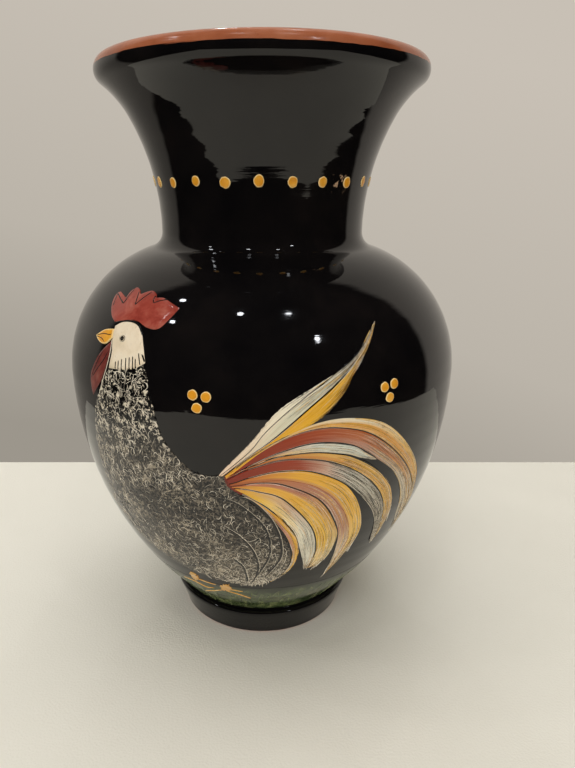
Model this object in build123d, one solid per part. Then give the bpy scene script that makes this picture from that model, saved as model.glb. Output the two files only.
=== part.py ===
from build123d import *
import math
import os

# Wheel-thrown pottery vase, millimetres, +Z up, origin at the centre of the resting face.
# The front, where the rooster is painted, faces -Y.  Places on the painted surface are
# (angle, height) pairs: the angle is in degrees round the axis, 0 at the front and
# positive towards +X.

# Whole vase
HEIGHT = 290.0
BELLY_RADIUS = 100.0
BELLY_HEIGHT = 145.0
NECK_RADIUS = 51.0
NECK_HEIGHT = 213.0

# Bends of the finished outer surface
LOW_BELLY_BEND = 180.0
SHOULDER_BEND = 63.0
NECK_BASE_BEND = 8.0
NECK_BEND = 110.0
FLARE_BEND = 45.0
LIP_BEND = 5.8
STRAIGHT_TOP = 32.0          # height where the straight run above the foot ends
FLARE_START = 265.0          # height where the neck bend tightens into the flare
RIM_BORDER = 285.3           # height on the outside where the black glaze stops

# Foot
FOOT_BOTTOM_RADIUS = 45.8
FOOT_TOP_RADIUS = 50.2
FOOT_INNER_RADIUS = 38.0
FOOT_HEIGHT = 16.0
FOOT_CHAMFER = 1.0           # on the edges of the resting face
FOOT_SHOULDER = 1.5          # chamfer on the ring's upper edge
GROOVE_RADIUS = 47.2         # bottom of the groove turned between foot and belly

# Wall and coats
WALL = 6.5                   # belly wall with both of its coats
NECK_INNER_RADIUS = 45.0
INNER_LIP_BEND = 3.0
INNER_LIP_RADIUS = 72.5
FLOOR_HEIGHT = 27.0
FLOOR_BEND = 12.0
COAT = 0.5                   # black glaze, clear glaze and rim slip
SEAM = 1.0                   # slip that joins foot to belly and neck to belly
NECK_JOINT = 202.5           # top of the belly wall
PAINT = 0.3                  # raised painted slip
LINE = 0.7                   # black line left between two painted colours

# Painted dots
NECK_DOT_COUNT = 23
NECK_DOT_HEIGHT = 236.0
NECK_DOT_RADIUS = 2.5
NECK_DOT_FIRST_ANGLE = -1.6
TRIO_DOT_RADIUS = 2.2
EYE_RADIUS = 1.1
GRASS_TOP = 46.0
TOE_WIDTH = 1.6              # one brush stroke of the rooster's feet
STROKE_STEPS = 14            # points along each side of a stroke
SEARCH_STEPS = 400           # points tried when the nearest place on a line is found
REACH = BELLY_RADIUS + 20.0  # how far a cutting prism runs, past the widest belly


def circle_crossing(centre_a, radius_a, centre_b, radius_b, upper=True):
    """Where two circles of the wall's section cross."""
    run = centre_b[0] - centre_a[0]
    rise = centre_b[1] - centre_a[1]
    span = math.hypot(run, rise)
    along = (radius_a**2 - radius_b**2 + span**2) / (2 * span)
    across = math.sqrt(radius_a**2 - along**2)
    foot = (centre_a[0] + along * run / span, centre_a[1] + along * rise / span)
    pair = [
        (foot[0] - across * rise / span, foot[1] + across * run / span),
        (foot[0] + across * rise / span, foot[1] - across * run / span),
    ]
    return max(pair, key=lambda p: p[1]) if upper else min(pair, key=lambda p: p[1])


def on_circle(centre, radius, angle):
    """Point of the section at an angle in radians, 0 outwards and 90 degrees up."""
    return (centre[0] + radius * math.cos(angle), centre[1] + radius * math.sin(angle))


def angle_to(centre, point):
    """Angle in radians from a circle's centre to a point, from 0 up to a full turn."""
    return math.atan2(point[1] - centre[1], point[0] - centre[0]) % (2 * math.pi)


def outer_bends():
    """The outer surface's arcs, foot to lip: centre, radius, side, first and last angle.

    Side is +1 where the clay lies on the centre's side, and -1 where the arc is hollow.
    """
    low = (BELLY_RADIUS - LOW_BELLY_BEND, BELLY_HEIGHT)
    shoulder = (BELLY_RADIUS - SHOULDER_BEND, BELLY_HEIGHT)
    neck = (NECK_RADIUS + NECK_BEND, NECK_HEIGHT)
    base = circle_crossing(shoulder, SHOULDER_BEND + NECK_BASE_BEND, neck, NECK_BEND - NECK_BASE_BEND)
    low_angle = math.asin((STRAIGHT_TOP - BELLY_HEIGHT) / LOW_BELLY_BEND)
    flare_angle = math.pi - math.asin((FLARE_START - NECK_HEIGHT) / NECK_BEND)
    flare = on_circle(neck, NECK_BEND - FLARE_BEND, flare_angle)
    lip_angle = math.pi - math.asin((HEIGHT - LIP_BEND - flare[1]) / (FLARE_BEND + LIP_BEND))
    lip = on_circle(flare, FLARE_BEND + LIP_BEND, lip_angle)
    neck_angle = angle_to(neck, base)
    return [
        (low, LOW_BELLY_BEND, 1, low_angle, 0.0),
        (shoulder, SHOULDER_BEND, 1, 0.0, angle_to(shoulder, base)),
        (base, NECK_BASE_BEND, -1, angle_to(base, shoulder), neck_angle),
        (neck, NECK_BEND, -1, neck_angle, flare_angle),
        (flare, FLARE_BEND, -1, flare_angle, lip_angle),
        (lip, LIP_BEND, 1, lip_angle - math.pi, math.asin((RIM_BORDER - lip[1]) / LIP_BEND)),
    ]


BENDS = outer_bends()
LIP_CENTRE = BENDS[5][0]
BORDER_ANGLE = BENDS[5][4]


def arc(centre, radius, first, last):
    """Arc of the section in the XZ plane."""
    ends = [on_circle(centre, radius, a) for a in (first, (first + last) / 2, last)]
    return ThreePointArc(*[(r, 0, z) for r, z in ends])


def line(a, b):
    """Straight run of the section in the XZ plane."""
    return Line((a[0], 0, a[1]), (b[0], 0, b[1]))


def turned(edges):
    """Solid of revolution from the closed section that the edges make."""
    return revolve(make_face(edges), Axis.Z)


def straight_foot_end(out, height):
    """Lower end of the straight run above the foot, at an offset out of the surface."""
    centre, radius, _, angle, _ = BENDS[0]
    top = on_circle(centre, radius + out, angle)
    return (top[0] - (top[1] - height) * -math.tan(angle), height)


def outer_run(out, bends, bottom):
    """Edges of the outer surface moved outwards by out, from the height bottom up."""
    centre, radius, side, first, _ = bends[0]
    start = on_circle(centre, radius + side * out, first)
    edges = [line(straight_foot_end(out, bottom), start)]
    for centre, radius, side, first, last in bends:
        edges.append(arc(centre, radius + side * out, first, last))
    return edges


def surface_radius(height):
    """Radius of the finished outer surface at a height between the foot and the flare."""
    if height < STRAIGHT_TOP:
        return straight_foot_end(0.0, height)[0]
    low, shoulder, base, neck = BENDS[:4]
    if height < BELLY_HEIGHT:
        bend = low
    elif height < on_circle(shoulder[0], shoulder[1], shoulder[4])[1]:
        bend = shoulder
    elif height < on_circle(neck[0], neck[1], neck[3])[1]:
        bend = base
    else:
        bend = neck
    centre, radius, side = bend[:3]
    return centre[0] + side * math.sqrt(radius**2 - (height - centre[1]) ** 2)


def inner_neck():
    """Centre and radius of the arc inside the neck, which is tangent to the inner lip."""
    lip_centre = (INNER_LIP_RADIUS, HEIGHT - INNER_LIP_BEND)
    run = NECK_INNER_RADIUS - lip_centre[0]
    rise = lip_centre[1] - NECK_HEIGHT
    radius = (run**2 + rise**2 - INNER_LIP_BEND**2) / (2 * (-run - INNER_LIP_BEND))
    return (NECK_INNER_RADIUS + radius, NECK_HEIGHT), radius


def inner_run(depth):
    """Edges of the inner surface sunk depth into the clay, from the lip to the axis."""
    neck_centre, neck_radius = inner_neck()
    lip_centre = (INNER_LIP_RADIUS, HEIGHT - INNER_LIP_BEND)
    shoulder = BENDS[1][0]
    low = BENDS[0][0]
    shoulder_radius = SHOULDER_BEND - WALL + depth
    low_radius = LOW_BELLY_BEND - WALL + depth
    corner = circle_crossing(shoulder, shoulder_radius, neck_centre, neck_radius - depth)
    lip_end = angle_to(neck_centre, lip_centre)
    floor = FLOOR_HEIGHT - depth
    bend_height = FLOOR_HEIGHT + FLOOR_BEND
    reach = LOW_BELLY_BEND - WALL - FLOOR_BEND
    bend_centre = (low[0] + math.sqrt(reach**2 - (bend_height - low[1]) ** 2), bend_height)
    floor_angle = angle_to(low, bend_centre) - 2 * math.pi
    bend_radius = FLOOR_BEND + depth
    return [
        arc(neck_centre, neck_radius - depth, lip_end, angle_to(neck_centre, corner)),
        arc(shoulder, shoulder_radius, angle_to(shoulder, corner), 0.0),
        arc(low, low_radius, 0.0, floor_angle),
        arc(bend_centre, bend_radius, floor_angle, -math.pi / 2),
        line((bend_centre[0], floor), (0, floor)),
    ]


def clay_above_foot():
    """Fired clay from the floor to the lip, without its coats."""
    neck_centre, _ = inner_neck()
    inner_lip = (INNER_LIP_RADIUS, HEIGHT - INNER_LIP_BEND)
    bottom = FOOT_HEIGHT + SEAM
    edges = outer_run(-COAT, BENDS, bottom)
    edges.append(arc(LIP_CENTRE, LIP_BEND - COAT, BORDER_ANGLE, math.pi / 2))
    edges.append(line((LIP_CENTRE[0], HEIGHT - COAT), (inner_lip[0], HEIGHT - COAT)))
    edges.append(arc(inner_lip, INNER_LIP_BEND - COAT, math.pi / 2, angle_to(neck_centre, inner_lip)))
    edges += inner_run(COAT)
    edges.append(line((0, FLOOR_HEIGHT - COAT), (0, bottom)))
    edges.append(line((0, bottom), straight_foot_end(-COAT, bottom)))
    return turned(edges)


def slab(low, high):
    """Wide block between two heights, to cut the wall into its thrown sections."""
    width = 4 * BELLY_RADIUS
    return Pos(0, 0, (low + high) / 2) * Box(width, width, high - low)


def foot_ring():
    """Ring foot, with chamfered edges round its flat resting face."""
    rim = FOOT_BOTTOM_RADIUS - FOOT_CHAMFER
    inner = FOOT_INNER_RADIUS + FOOT_CHAMFER
    corners = [
        (inner, 0),
        (rim, 0),
        (FOOT_BOTTOM_RADIUS, FOOT_CHAMFER),
        (FOOT_TOP_RADIUS, FOOT_HEIGHT - FOOT_SHOULDER),
        (FOOT_TOP_RADIUS - FOOT_SHOULDER, FOOT_HEIGHT),
        (FOOT_INNER_RADIUS, FOOT_HEIGHT),
        (FOOT_INNER_RADIUS, FOOT_CHAMFER),
    ]
    return turned([line(a, b) for a, b in zip(corners, corners[1:] + corners[:1])])


def foot_lute():
    """Slip seam between the foot ring and the belly's floor."""
    top = FOOT_HEIGHT + SEAM
    r = GROOVE_RADIUS - COAT
    corners = [(FOOT_INNER_RADIUS, FOOT_HEIGHT), (r, FOOT_HEIGHT), (r, top), (FOOT_INNER_RADIUS, top)]
    return turned([line(a, b) for a, b in zip(corners, corners[1:] + corners[:1])])


def black_glaze_coat():
    """Glaze over the foot's side, the groove, the belly and the neck, up to the rim band."""
    top = FOOT_HEIGHT + SEAM
    ledge = FOOT_HEIGHT + COAT / 2
    inside = GROOVE_RADIUS - COAT
    edges = outer_run(0.0, BENDS, top)
    border = [on_circle(LIP_CENTRE, LIP_BEND - depth, BORDER_ANGLE) for depth in (0.0, COAT)]
    edges.append(line(*border))
    edges += outer_run(-COAT, BENDS, top)
    corners = [
        straight_foot_end(-COAT, top),
        (inside, top),
        (inside, FOOT_HEIGHT),
        (FOOT_TOP_RADIUS - FOOT_SHOULDER, FOOT_HEIGHT),
        (FOOT_TOP_RADIUS, FOOT_HEIGHT - FOOT_SHOULDER),
        (FOOT_BOTTOM_RADIUS, FOOT_CHAMFER),
        (FOOT_BOTTOM_RADIUS + COAT, FOOT_CHAMFER),
        (FOOT_TOP_RADIUS + COAT, FOOT_HEIGHT - FOOT_SHOULDER),
        (FOOT_TOP_RADIUS - FOOT_SHOULDER + COAT / 2, ledge),
        (GROOVE_RADIUS, ledge),
        (GROOVE_RADIUS, top - COAT / 4),
        straight_foot_end(0.0, top),
    ]
    edges += [line(a, b) for a, b in zip(corners, corners[1:])]
    return turned(edges)


def rim_slip_band():
    """Terracotta band over the rolled lip."""
    neck_centre, _ = inner_neck()
    inner_lip = (INNER_LIP_RADIUS, HEIGHT - INNER_LIP_BEND)
    last = angle_to(neck_centre, inner_lip)
    edges = []
    for depth in (0.0, COAT):
        edges.append(arc(LIP_CENTRE, LIP_BEND - depth, BORDER_ANGLE, math.pi / 2))
        edges.append(line((LIP_CENTRE[0], HEIGHT - depth), (inner_lip[0], HEIGHT - depth)))
        edges.append(arc(inner_lip, INNER_LIP_BEND - depth, math.pi / 2, last))
    for centre, radius, angle in ((LIP_CENTRE, LIP_BEND, BORDER_ANGLE), (inner_lip, INNER_LIP_BEND, last)):
        edges.append(line(on_circle(centre, radius, angle), on_circle(centre, radius - COAT, angle)))
    return turned(edges)


def clear_glaze_lining():
    """Clear glaze over the inside, from the lip to the floor."""
    neck_centre, neck_radius = inner_neck()
    angle = angle_to(neck_centre, (INNER_LIP_RADIUS, HEIGHT - INNER_LIP_BEND))
    edges = inner_run(0.0) + inner_run(COAT)
    lip_ends = [on_circle(neck_centre, neck_radius - depth, angle) for depth in (0.0, COAT)]
    edges.append(line(*lip_ends))
    edges.append(line((0, FLOOR_HEIGHT), (0, FLOOR_HEIGHT - COAT)))
    return turned(edges)


def paint_shell(low, high, under=0.0, over=PAINT):
    """Thin shell that lies on the glaze between two heights, from which the paint is cut."""
    bottom = FOOT_HEIGHT + SEAM
    bends = BENDS[:4]
    centre, radius, side, _, last = bends[-1]
    edges = outer_run(under, bends, bottom) + outer_run(over, bends, bottom)
    edges.append(line(straight_foot_end(under, bottom), straight_foot_end(over, bottom)))
    ends = [on_circle(centre, radius + side * depth, last) for depth in (under, over)]
    edges.append(line(*ends))
    return turned(edges) & slab(low, high)


def on_front(angle, height):
    """Front view of a place on the painted surface."""
    return (surface_radius(height) * math.sin(math.radians(angle)), 0, height)


def curve(*places):
    """Smooth brush line through places on the painted surface."""
    return Spline(*[on_front(*place) for place in places])


def outline(*edges):
    """Face enclosed by edges that follow one another."""
    return make_face(edges)


def stroke(edge, width):
    """Face of a brush stroke or scored line of one width along an edge."""
    left = []
    right = []
    for i in range(STROKE_STEPS + 1):
        place = edge @ (i / STROKE_STEPS)
        way = edge % (i / STROKE_STEPS)
        aside = Vector(-way.Z, 0, way.X) * (width / 2)
        left.append(place + aside)
        right.append(place - aside)
    sides = [Spline(*left), Spline(*right)]
    return make_face(sides + [Line(left[0], right[0]), Line(left[-1], right[-1])])


def painted(face, shell, scored=()):
    """Painted solid: the face's shape on the front of the shell, less the scored lines."""
    area = face
    for cut in scored:
        area = area - cut
    return extrude(area, amount=REACH, dir=(0, -1, 0)) & shell


def largest(shape):
    """The biggest solid of a cut shape, without the slivers beside it."""
    return max(shape.solids(), key=lambda s: s.volume)


def dots(places, radius, shell):
    """Round dots of one size on the shell."""
    found = []
    for angle, height in places:
        away = (math.sin(math.radians(angle)), -math.cos(math.radians(angle)), 0)
        tool = extrude(Plane((0, 0, height), z_dir=away) * Circle(radius), amount=REACH)
        found += (tool & shell).solids()
    return Compound(children=found)


def nearest(edge, place):
    """Where along a line, from 0 to 1, it comes nearest to a place."""
    target = Vector(*on_front(*place))
    shares = [i / SEARCH_STEPS for i in range(SEARCH_STEPS + 1)]
    return min(shares, key=lambda share: (edge @ share - target).length)


def between(edge, first, last):
    """Stretch of a line between the points nearest to two places."""
    return edge.trim(nearest(edge, first), nearest(edge, last))


def joined_curve(start, places, end):
    """Brush line from a point through places to another point."""
    return Spline(start, *[on_front(*place) for place in places], end)


# Lines of the rooster.  Each tail line starts at the tail's root, under the plumage.
ROOT = (-13, 114)
SICKLE_TIP = (32, 181)
BAND_TIP = (52, 70.5)
SICKLE_TOP = curve(ROOT, (-10, 122), (-3, 136), (3.5, 150), (12, 159), (22, 167.5), (28, 176), SICKLE_TIP)
SICKLE_RIB = curve(ROOT, (-9, 120.5), (-3, 130), (2.5, 137.5), (10, 149), (19, 161), (26.5, 171.5),
                   SICKLE_TIP)
LINE_1 = curve(ROOT, (-8, 120), (-3, 128.5), (3.5, 136.5), (10, 140.7), (18, 141), (28, 135), (40, 118),
               (51, 96.5), (54.5, 84), BAND_TIP)
LINE_2 = curve(ROOT, (-8, 119), (-3, 125.5), (4, 131.5), (12.5, 135), (22, 132), (30, 122.5), (38, 111),
               (44.5, 95), (48, 80), BAND_TIP)
LEAF_TOP = curve(ROOT, (-8.4, 120), (-4.5, 124), (-0.5, 126.9), (3.3, 129.6), (12, 130.9), (20.5, 128),
                 (29.5, 118.8), (36.5, 107.6), (41, 94), (42, 84), (40.5, 70.5))
LINE_3 = curve(ROOT, (-8, 119.3), (-4.5, 123), (-1.7, 125), (3.3, 127.9), (9, 128.4), (16.3, 125.8),
               (24.6, 118.4), (33, 105), (38, 90.5), (40.5, 70.5))
LINE_4 = curve(ROOT, (-7, 116.8), (-3, 119.8), (4, 122.8), (12, 121.8), (20.5, 114.5), (28.5, 101.5),
               (35, 87), (38, 70))
LINE_5 = curve(ROOT, (-6.5, 115.5), (-1, 117.3), (5.5, 116), (15, 106.5), (21.5, 89), (23.4, 74),
               (23.7, 52.5))
LINE_6 = curve(ROOT, (-6, 114.3), (-1, 113), (5.5, 108.5), (13.5, 92), (16.5, 76), (15.5, 62.5))
LINE_7 = curve(ROOT, (-6.5, 112.8), (-2, 108.5), (2.5, 102.5), (8.5, 90), (11.5, 76), (14, 62.5))
SADDLE = curve((-9, 120), (-8.7, 116.5), (-6.5, 113), (-2.5, 106.8), (1.8, 98.5), (5.4, 89), (8.4, 78),
               (8.8, 68), (6.3, 58.5), (-1, 50.5))
COLLAR = curve((-42.2, 159.6), (-37, 160.5), (-33, 162), (-29.8, 165))


def plumage_face():
    """Speckled body of the rooster, from the collar down to the thigh."""
    back = curve((-29.8, 165), (-28, 155), (-26.5, 146), (-25, 136), (-21.5, 127.5), (-18, 122),
                 (-14.5, 119.5), (-9, 120))
    belly = curve((-1, 50.5), (-12, 51), (-20, 53), (-29, 56), (-38, 62), (-48, 71), (-54, 84))
    breast = curve((-54, 84), (-53.5, 98.5), (-52.5, 112), (-51, 126.5), (-48.7, 139.5), (-45.6, 149),
                   (-42.2, 159.6))
    return outline(COLLAR, back, SADDLE, belly, breast)


def head_face():
    """Cream head above the collar."""
    crown = curve((-29.8, 165), (-31.4, 171.3), (-33.6, 177), (-37.1, 179.3), (-41, 179), (-44.1, 176.7))
    face = curve((-44.1, 176.7), (-43.4, 172), (-42.1, 166), (-42.2, 159.6))
    return outline(COLLAR, crown, face)


def comb_face():
    """Comb with four teeth, standing on the head and swept back to a point."""
    front = curve((-45, 178), (-47.9, 180.1), (-51, 184), (-52.2, 187.5), (-51, 189.2), (-48.5, 188.6),
                  (-45.8, 187.6))
    second = curve((-45.8, 187.6), (-45.6, 190.3), (-44, 191.9), (-41.8, 191.3), (-40.1, 189.8))
    third = curve((-40.1, 189.8), (-38, 191.1), (-36, 191.6), (-34, 190.7), (-33.1, 189.4))
    rear = curve((-33.1, 189.4), (-30.5, 189.6), (-27.5, 188.4), (-23.7, 186.6))
    under = curve((-23.7, 186.6), (-25.8, 182.2), (-28.3, 178.4), (-32.1, 178.3), (-37, 180.1), (-45, 178))
    return outline(front, second, third, rear, under)


def beak_face():
    """Beak, pointed towards the left."""
    upper = curve((-43.9, 175.5), (-47.9, 174.3), (-51.7, 170.8))
    lower = curve((-51.7, 170.8), (-48.5, 168.7), (-45.5, 168.9), (-43.4, 171.8))
    return outline(upper, lower, Line(on_front(-43.4, 171.8), on_front(-43.9, 175.5)))


def wattle_face():
    """Wattle that hangs below the beak."""
    front = curve((-43.4, 170.6), (-45.9, 166.9), (-48.2, 162), (-50.4, 154), (-50, 148), (-49.3, 144.9))
    rear = curve((-49.3, 144.9), (-47, 149.3), (-44.9, 154), (-43.4, 160), (-42.9, 165.5))
    return outline(front, rear, Line(on_front(-42.9, 165.5), on_front(-43.4, 170.6)))


def sickle_faces():
    """White upper vane and yellow lower vane of the long sickle feather."""
    start = LINE_1 @ nearest(LINE_1, (4, 137.2))
    fork = on_front(12.5, 144)
    lower = [on_front(*p) for p in ((18.5, 152.5), (23, 163), (28.5, 174))]
    vane = Spline(start, fork, *lower, on_front(*SICKLE_TIP))
    rib = between(SICKLE_RIB, (2.5, 137.5), SICKLE_TIP)
    white = outline(SICKLE_TOP, SICKLE_RIB)
    yellow = outline(rib, vane, Line(rib @ 0, start))
    return white, yellow


def tail_faces():
    """Tail feathers from the outermost inwards, each between its own two lines."""
    fan_start = nearest(LINE_1, (4, 137.2))
    fan_end = nearest(LINE_1, (54.5, 84))
    over_fan = [(12.5, 143.7), (22, 144.3), (33, 137.5), (45.5, 117), (52, 99.5)]
    fan_top = joined_curve(LINE_1 @ fan_start, over_fan, LINE_1 @ fan_end)
    rim = outline(fan_top, LINE_1.trim(fan_start, fan_end))
    band = outline(LINE_1, LINE_2)
    grey_top = between(LINE_2, (3, 130.8), (30, 122.5))
    grey_low = between(LEAF_TOP, (3.3, 129.6), (23, 126.4))
    grey = outline(grey_top, joined_curve(grey_top @ 1, [(27, 123.2)], grey_low @ 1), grey_low,
                   Line(grey_low @ 0, grey_top @ 0))
    leaf = outline(LEAF_TOP, LINE_3)
    brushed = outline(LINE_3, LINE_4, Line(LINE_3 @ 1, LINE_4 @ 1))
    drop_start = nearest(LINE_4, (20.5, 114.5))
    over_drop = [(25.5, 105), (29.5, 91.5), (30.7, 80), (28, 67)]
    drop_edge = joined_curve(LINE_4 @ drop_start, over_drop, LINE_5 @ 1)
    drop = outline(LINE_4.trim(0, drop_start), drop_edge, LINE_5)
    inner_start = nearest(LINE_5, (22.7, 80.5))
    inner_edge = joined_curve(LINE_5 @ inner_start, [(21.8, 70), (19, 64)], LINE_6 @ 1)
    inner = outline(LINE_5.trim(0, inner_start), inner_edge, LINE_6)
    pale = outline(LINE_6, LINE_7, Line(LINE_6 @ 1, LINE_7 @ 1))
    hug_start = nearest(LINE_7, (10.6, 82))
    hug_edge = joined_curve(LINE_7 @ hug_start, [(11, 73), (9.6, 63.5)], on_front(3, 53))
    hug_back = curve((3, 53), (3, 62), (3, 78), (-2, 95), ROOT)
    hug = outline(LINE_7.trim(0, hug_start), hug_edge, hug_back)
    return {"rim": rim, "band": band, "grey": grey, "leaf": leaf, "brushed": brushed, "drop": drop,
            "inner": inner, "pale": pale, "hugging": hug}


def foot_face(pad, toes):
    """Rooster's foot: a pad and its toes, each toe one brush stroke."""
    face = outline(Spline(*[on_front(*place) for place in pad], periodic=True))
    for toe in toes:
        face = face + stroke(curve(*toe), TOE_WIDTH)
    return face


def write(name, shape):
    """Write one node's STEP file."""
    export_step(shape, f"parts/{name}.step")


def write_pottery():
    """The fired clay, its seams and its coats."""
    clay = clay_above_foot()
    write("foot_ring", foot_ring())
    write("foot_lute", foot_lute())
    write("belly_wall", clay & slab(0, NECK_JOINT))
    write("neck_lute", clay & slab(NECK_JOINT, NECK_JOINT + SEAM))
    write("neck_wall", clay & slab(NECK_JOINT + SEAM, 2 * HEIGHT))
    write("black_glaze_coat", black_glaze_coat())
    write("rim_slip_band", rim_slip_band())
    write("clear_glaze_lining", clear_glaze_lining())


def write_rooster():
    """The raised painted slip of the rooster, its feet and its tail."""
    shell = paint_shell(FOOT_HEIGHT + SEAM, NECK_JOINT)
    plumage = plumage_face()
    head = head_face()
    comb = comb_face()
    beak = beak_face()
    wattle = wattle_face()
    collar = stroke(COLLAR, LINE)
    write("rooster_plumage", largest(painted(plumage, shell, [collar, stroke(SADDLE, LINE)])))
    write("rooster_head", largest(painted(head, shell, [collar])))
    write("rooster_comb", largest(painted(comb, shell, [head])))
    write("rooster_beak", largest(painted(beak, shell, [head])))
    write("rooster_wattle", largest(painted(wattle, shell, [head, beak])))
    over_head = paint_shell(BELLY_HEIGHT, NECK_JOINT, PAINT, 2 * PAINT)
    write("rooster_eye", dots([(-39.3, 172.5)], EYE_RADIUS, over_head))
    left = foot_face(
        [(-31.2, 45.5), (-29, 52), (-25, 51), (-25.8, 45.5), (-30, 41.5)],
        [((-37, 41.2), (-31, 41.5), (-26, 38.5), (-22, 40)), ((-27, 46.5), (-23, 45.5), (-19.6, 45))],
    )
    right = foot_face(
        [(-18.5, 45.5), (-14, 49.5), (-11.5, 46), (-13, 39.5), (-19, 38)],
        [((-16, 40), (-10, 37), (-5.8, 33.5)), ((-14, 42.5), (-8.6, 41.5)),
         ((-17, 40.5), (-23, 36), (-30, 31))],
    )
    write("rooster_left_foot", largest(painted(left, shell)))
    write("rooster_right_foot", largest(painted(right, shell, [left])))
    grass = shell & slab(0, GRASS_TOP)
    for foot in (left, right):
        grass = grass - extrude(foot, amount=REACH, dir=(0, -1, 0))
    write("grass_band", largest(grass))

    white, yellow = sickle_faces()
    feathers = tail_faces()
    saddle_line = stroke(SADDLE, LINE)
    lines = {
        "rib": stroke(SICKLE_RIB, LINE), "first": stroke(LINE_1, LINE), "second": stroke(LINE_2, LINE),
        "leaf": stroke(LEAF_TOP, LINE), "third": stroke(LINE_3, LINE), "fourth": stroke(LINE_4, LINE),
        "fifth": stroke(LINE_5, LINE), "sixth": stroke(LINE_6, LINE), "seventh": stroke(LINE_7, LINE),
    }
    inside = [plumage, saddle_line]
    white_cuts = inside + [lines["rib"], feathers["band"], lines["first"]]
    yellow_cuts = inside + [lines["rib"], lines["first"], feathers["rim"]]
    write("sickle_white_vane", largest(painted(white, shell, white_cuts)))
    write("sickle_yellow_vane", largest(painted(yellow, shell, yellow_cuts)))
    borders = {
        "rim": ["first"],
        "band": ["first", "second", "leaf"],
        "grey": ["second", "leaf"],
        "leaf": ["leaf", "third"],
        "brushed": ["third", "fourth"],
        "drop": ["fourth", "fifth"],
        "inner": ["fifth", "sixth"],
        "pale": ["sixth", "seventh"],
        "hugging": ["seventh"],
    }
    for name, face in feathers.items():
        cuts = inside + [lines[border] for border in borders[name]]
        write(f"tail_{name}_feather", largest(painted(face, shell, cuts)))


def write_dots():
    """The ring of dots on the neck and the two trios beside the rooster."""
    step = 360 / NECK_DOT_COUNT
    ring = [(NECK_DOT_FIRST_ANGLE + step * i, NECK_DOT_HEIGHT) for i in range(NECK_DOT_COUNT)]
    span = 3 * NECK_DOT_RADIUS
    neck_shell = paint_shell(NECK_DOT_HEIGHT - span, NECK_DOT_HEIGHT + span)
    write("neck_dots", dots(ring, NECK_DOT_RADIUS, neck_shell))
    shell = paint_shell(BELLY_HEIGHT, NECK_JOINT)
    write("left_dot_trio", dots([(-16.3, 155), (-13, 154.6), (-15.2, 149.8)], TRIO_DOT_RADIUS, shell))
    write("right_dot_trio", dots([(30.9, 155), (34, 155.6), (32.5, 150.2)], TRIO_DOT_RADIUS, shell))


os.makedirs("parts", exist_ok=True)
write_pottery()
write_rooster()
write_dots()
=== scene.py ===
import math
import random

import bmesh
import bpy
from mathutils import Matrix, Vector, noise


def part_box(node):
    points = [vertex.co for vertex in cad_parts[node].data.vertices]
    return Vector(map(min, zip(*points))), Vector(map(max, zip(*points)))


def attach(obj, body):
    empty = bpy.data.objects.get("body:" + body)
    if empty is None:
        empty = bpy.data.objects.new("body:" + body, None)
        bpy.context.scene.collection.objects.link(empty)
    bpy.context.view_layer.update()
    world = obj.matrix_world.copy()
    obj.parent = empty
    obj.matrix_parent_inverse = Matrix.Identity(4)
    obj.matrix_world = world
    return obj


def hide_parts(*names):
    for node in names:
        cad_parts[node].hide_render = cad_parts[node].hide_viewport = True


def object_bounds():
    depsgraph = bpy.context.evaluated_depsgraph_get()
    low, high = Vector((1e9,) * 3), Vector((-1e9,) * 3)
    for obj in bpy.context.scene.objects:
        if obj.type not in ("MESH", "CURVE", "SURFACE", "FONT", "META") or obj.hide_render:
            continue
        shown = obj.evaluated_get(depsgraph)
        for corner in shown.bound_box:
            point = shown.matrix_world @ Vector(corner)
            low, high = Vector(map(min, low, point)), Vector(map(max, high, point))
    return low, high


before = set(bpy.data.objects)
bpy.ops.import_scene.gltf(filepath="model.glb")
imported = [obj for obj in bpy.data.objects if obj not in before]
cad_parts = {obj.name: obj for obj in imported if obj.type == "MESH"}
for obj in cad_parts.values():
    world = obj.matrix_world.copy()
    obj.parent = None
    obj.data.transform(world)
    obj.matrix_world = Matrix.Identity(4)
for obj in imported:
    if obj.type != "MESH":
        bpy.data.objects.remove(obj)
cad_low, cad_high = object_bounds()

# The finished looks of a wheel-thrown black-glazed vase with a painted rooster.
# Lengths are millimetres in the vase's own frame and become metres when a mesh is made.
# A place on the painted surface is (angle, height): the angle is in degrees round the axis,
# 0 at the front (-Y) and positive towards +X.
MM = 0.001
HEIGHT = cad_high.z / MM
BELLY_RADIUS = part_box("black_glaze_coat")[1].x / MM
BELLY_HEIGHT = 145.0
NECK_RADIUS = 51.0
NECK_HEIGHT = 213.0
LOW_BELLY_BEND = 180.0
SHOULDER_BEND = 63.0
NECK_BASE_BEND = 8.0
NECK_BEND = 110.0
FLARE_BEND = 45.0
LIP_BEND = 5.8
STRAIGHT_TOP = 32.0
FLARE_START = 265.0
RIM_BORDER = 285.3
WALL = 6.5
NECK_INNER_RADIUS = 45.0
INNER_LIP_BEND = 3.0
INNER_LIP_RADIUS = 72.5
FLOOR_HEIGHT = 27.0
FLOOR_BEND = 12.0
COAT = 0.45
TURNS = 256
STEP = 1.25                  # between rings of a lathed surface
SHARP_EDGE = 50              # degrees
DOT_RINGS = (0.3, 0.55, 0.75, 0.88, 0.96, 1.0)   # rings of a dot's mesh, from its middle out
DOT_LIFT = 0.42
DOT_STEPS = 28
EYE_LIFT = 0.5
HEAD_LIFT = 0.36
BEAK_LIFT = 0.34
PLUMAGE_LIFT = 0.32
FEATHER_LIFT = 0.25
WHOLE_TURN = 360
rng = random.Random(23)


# ---------------------------------------------------------------- form of the vase
def heading(angle):
    """Unit vector that turns with the angle, to look up noise round the vase."""
    turn = math.radians(angle)
    return Vector((math.cos(turn), math.sin(turn), 0))


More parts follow.
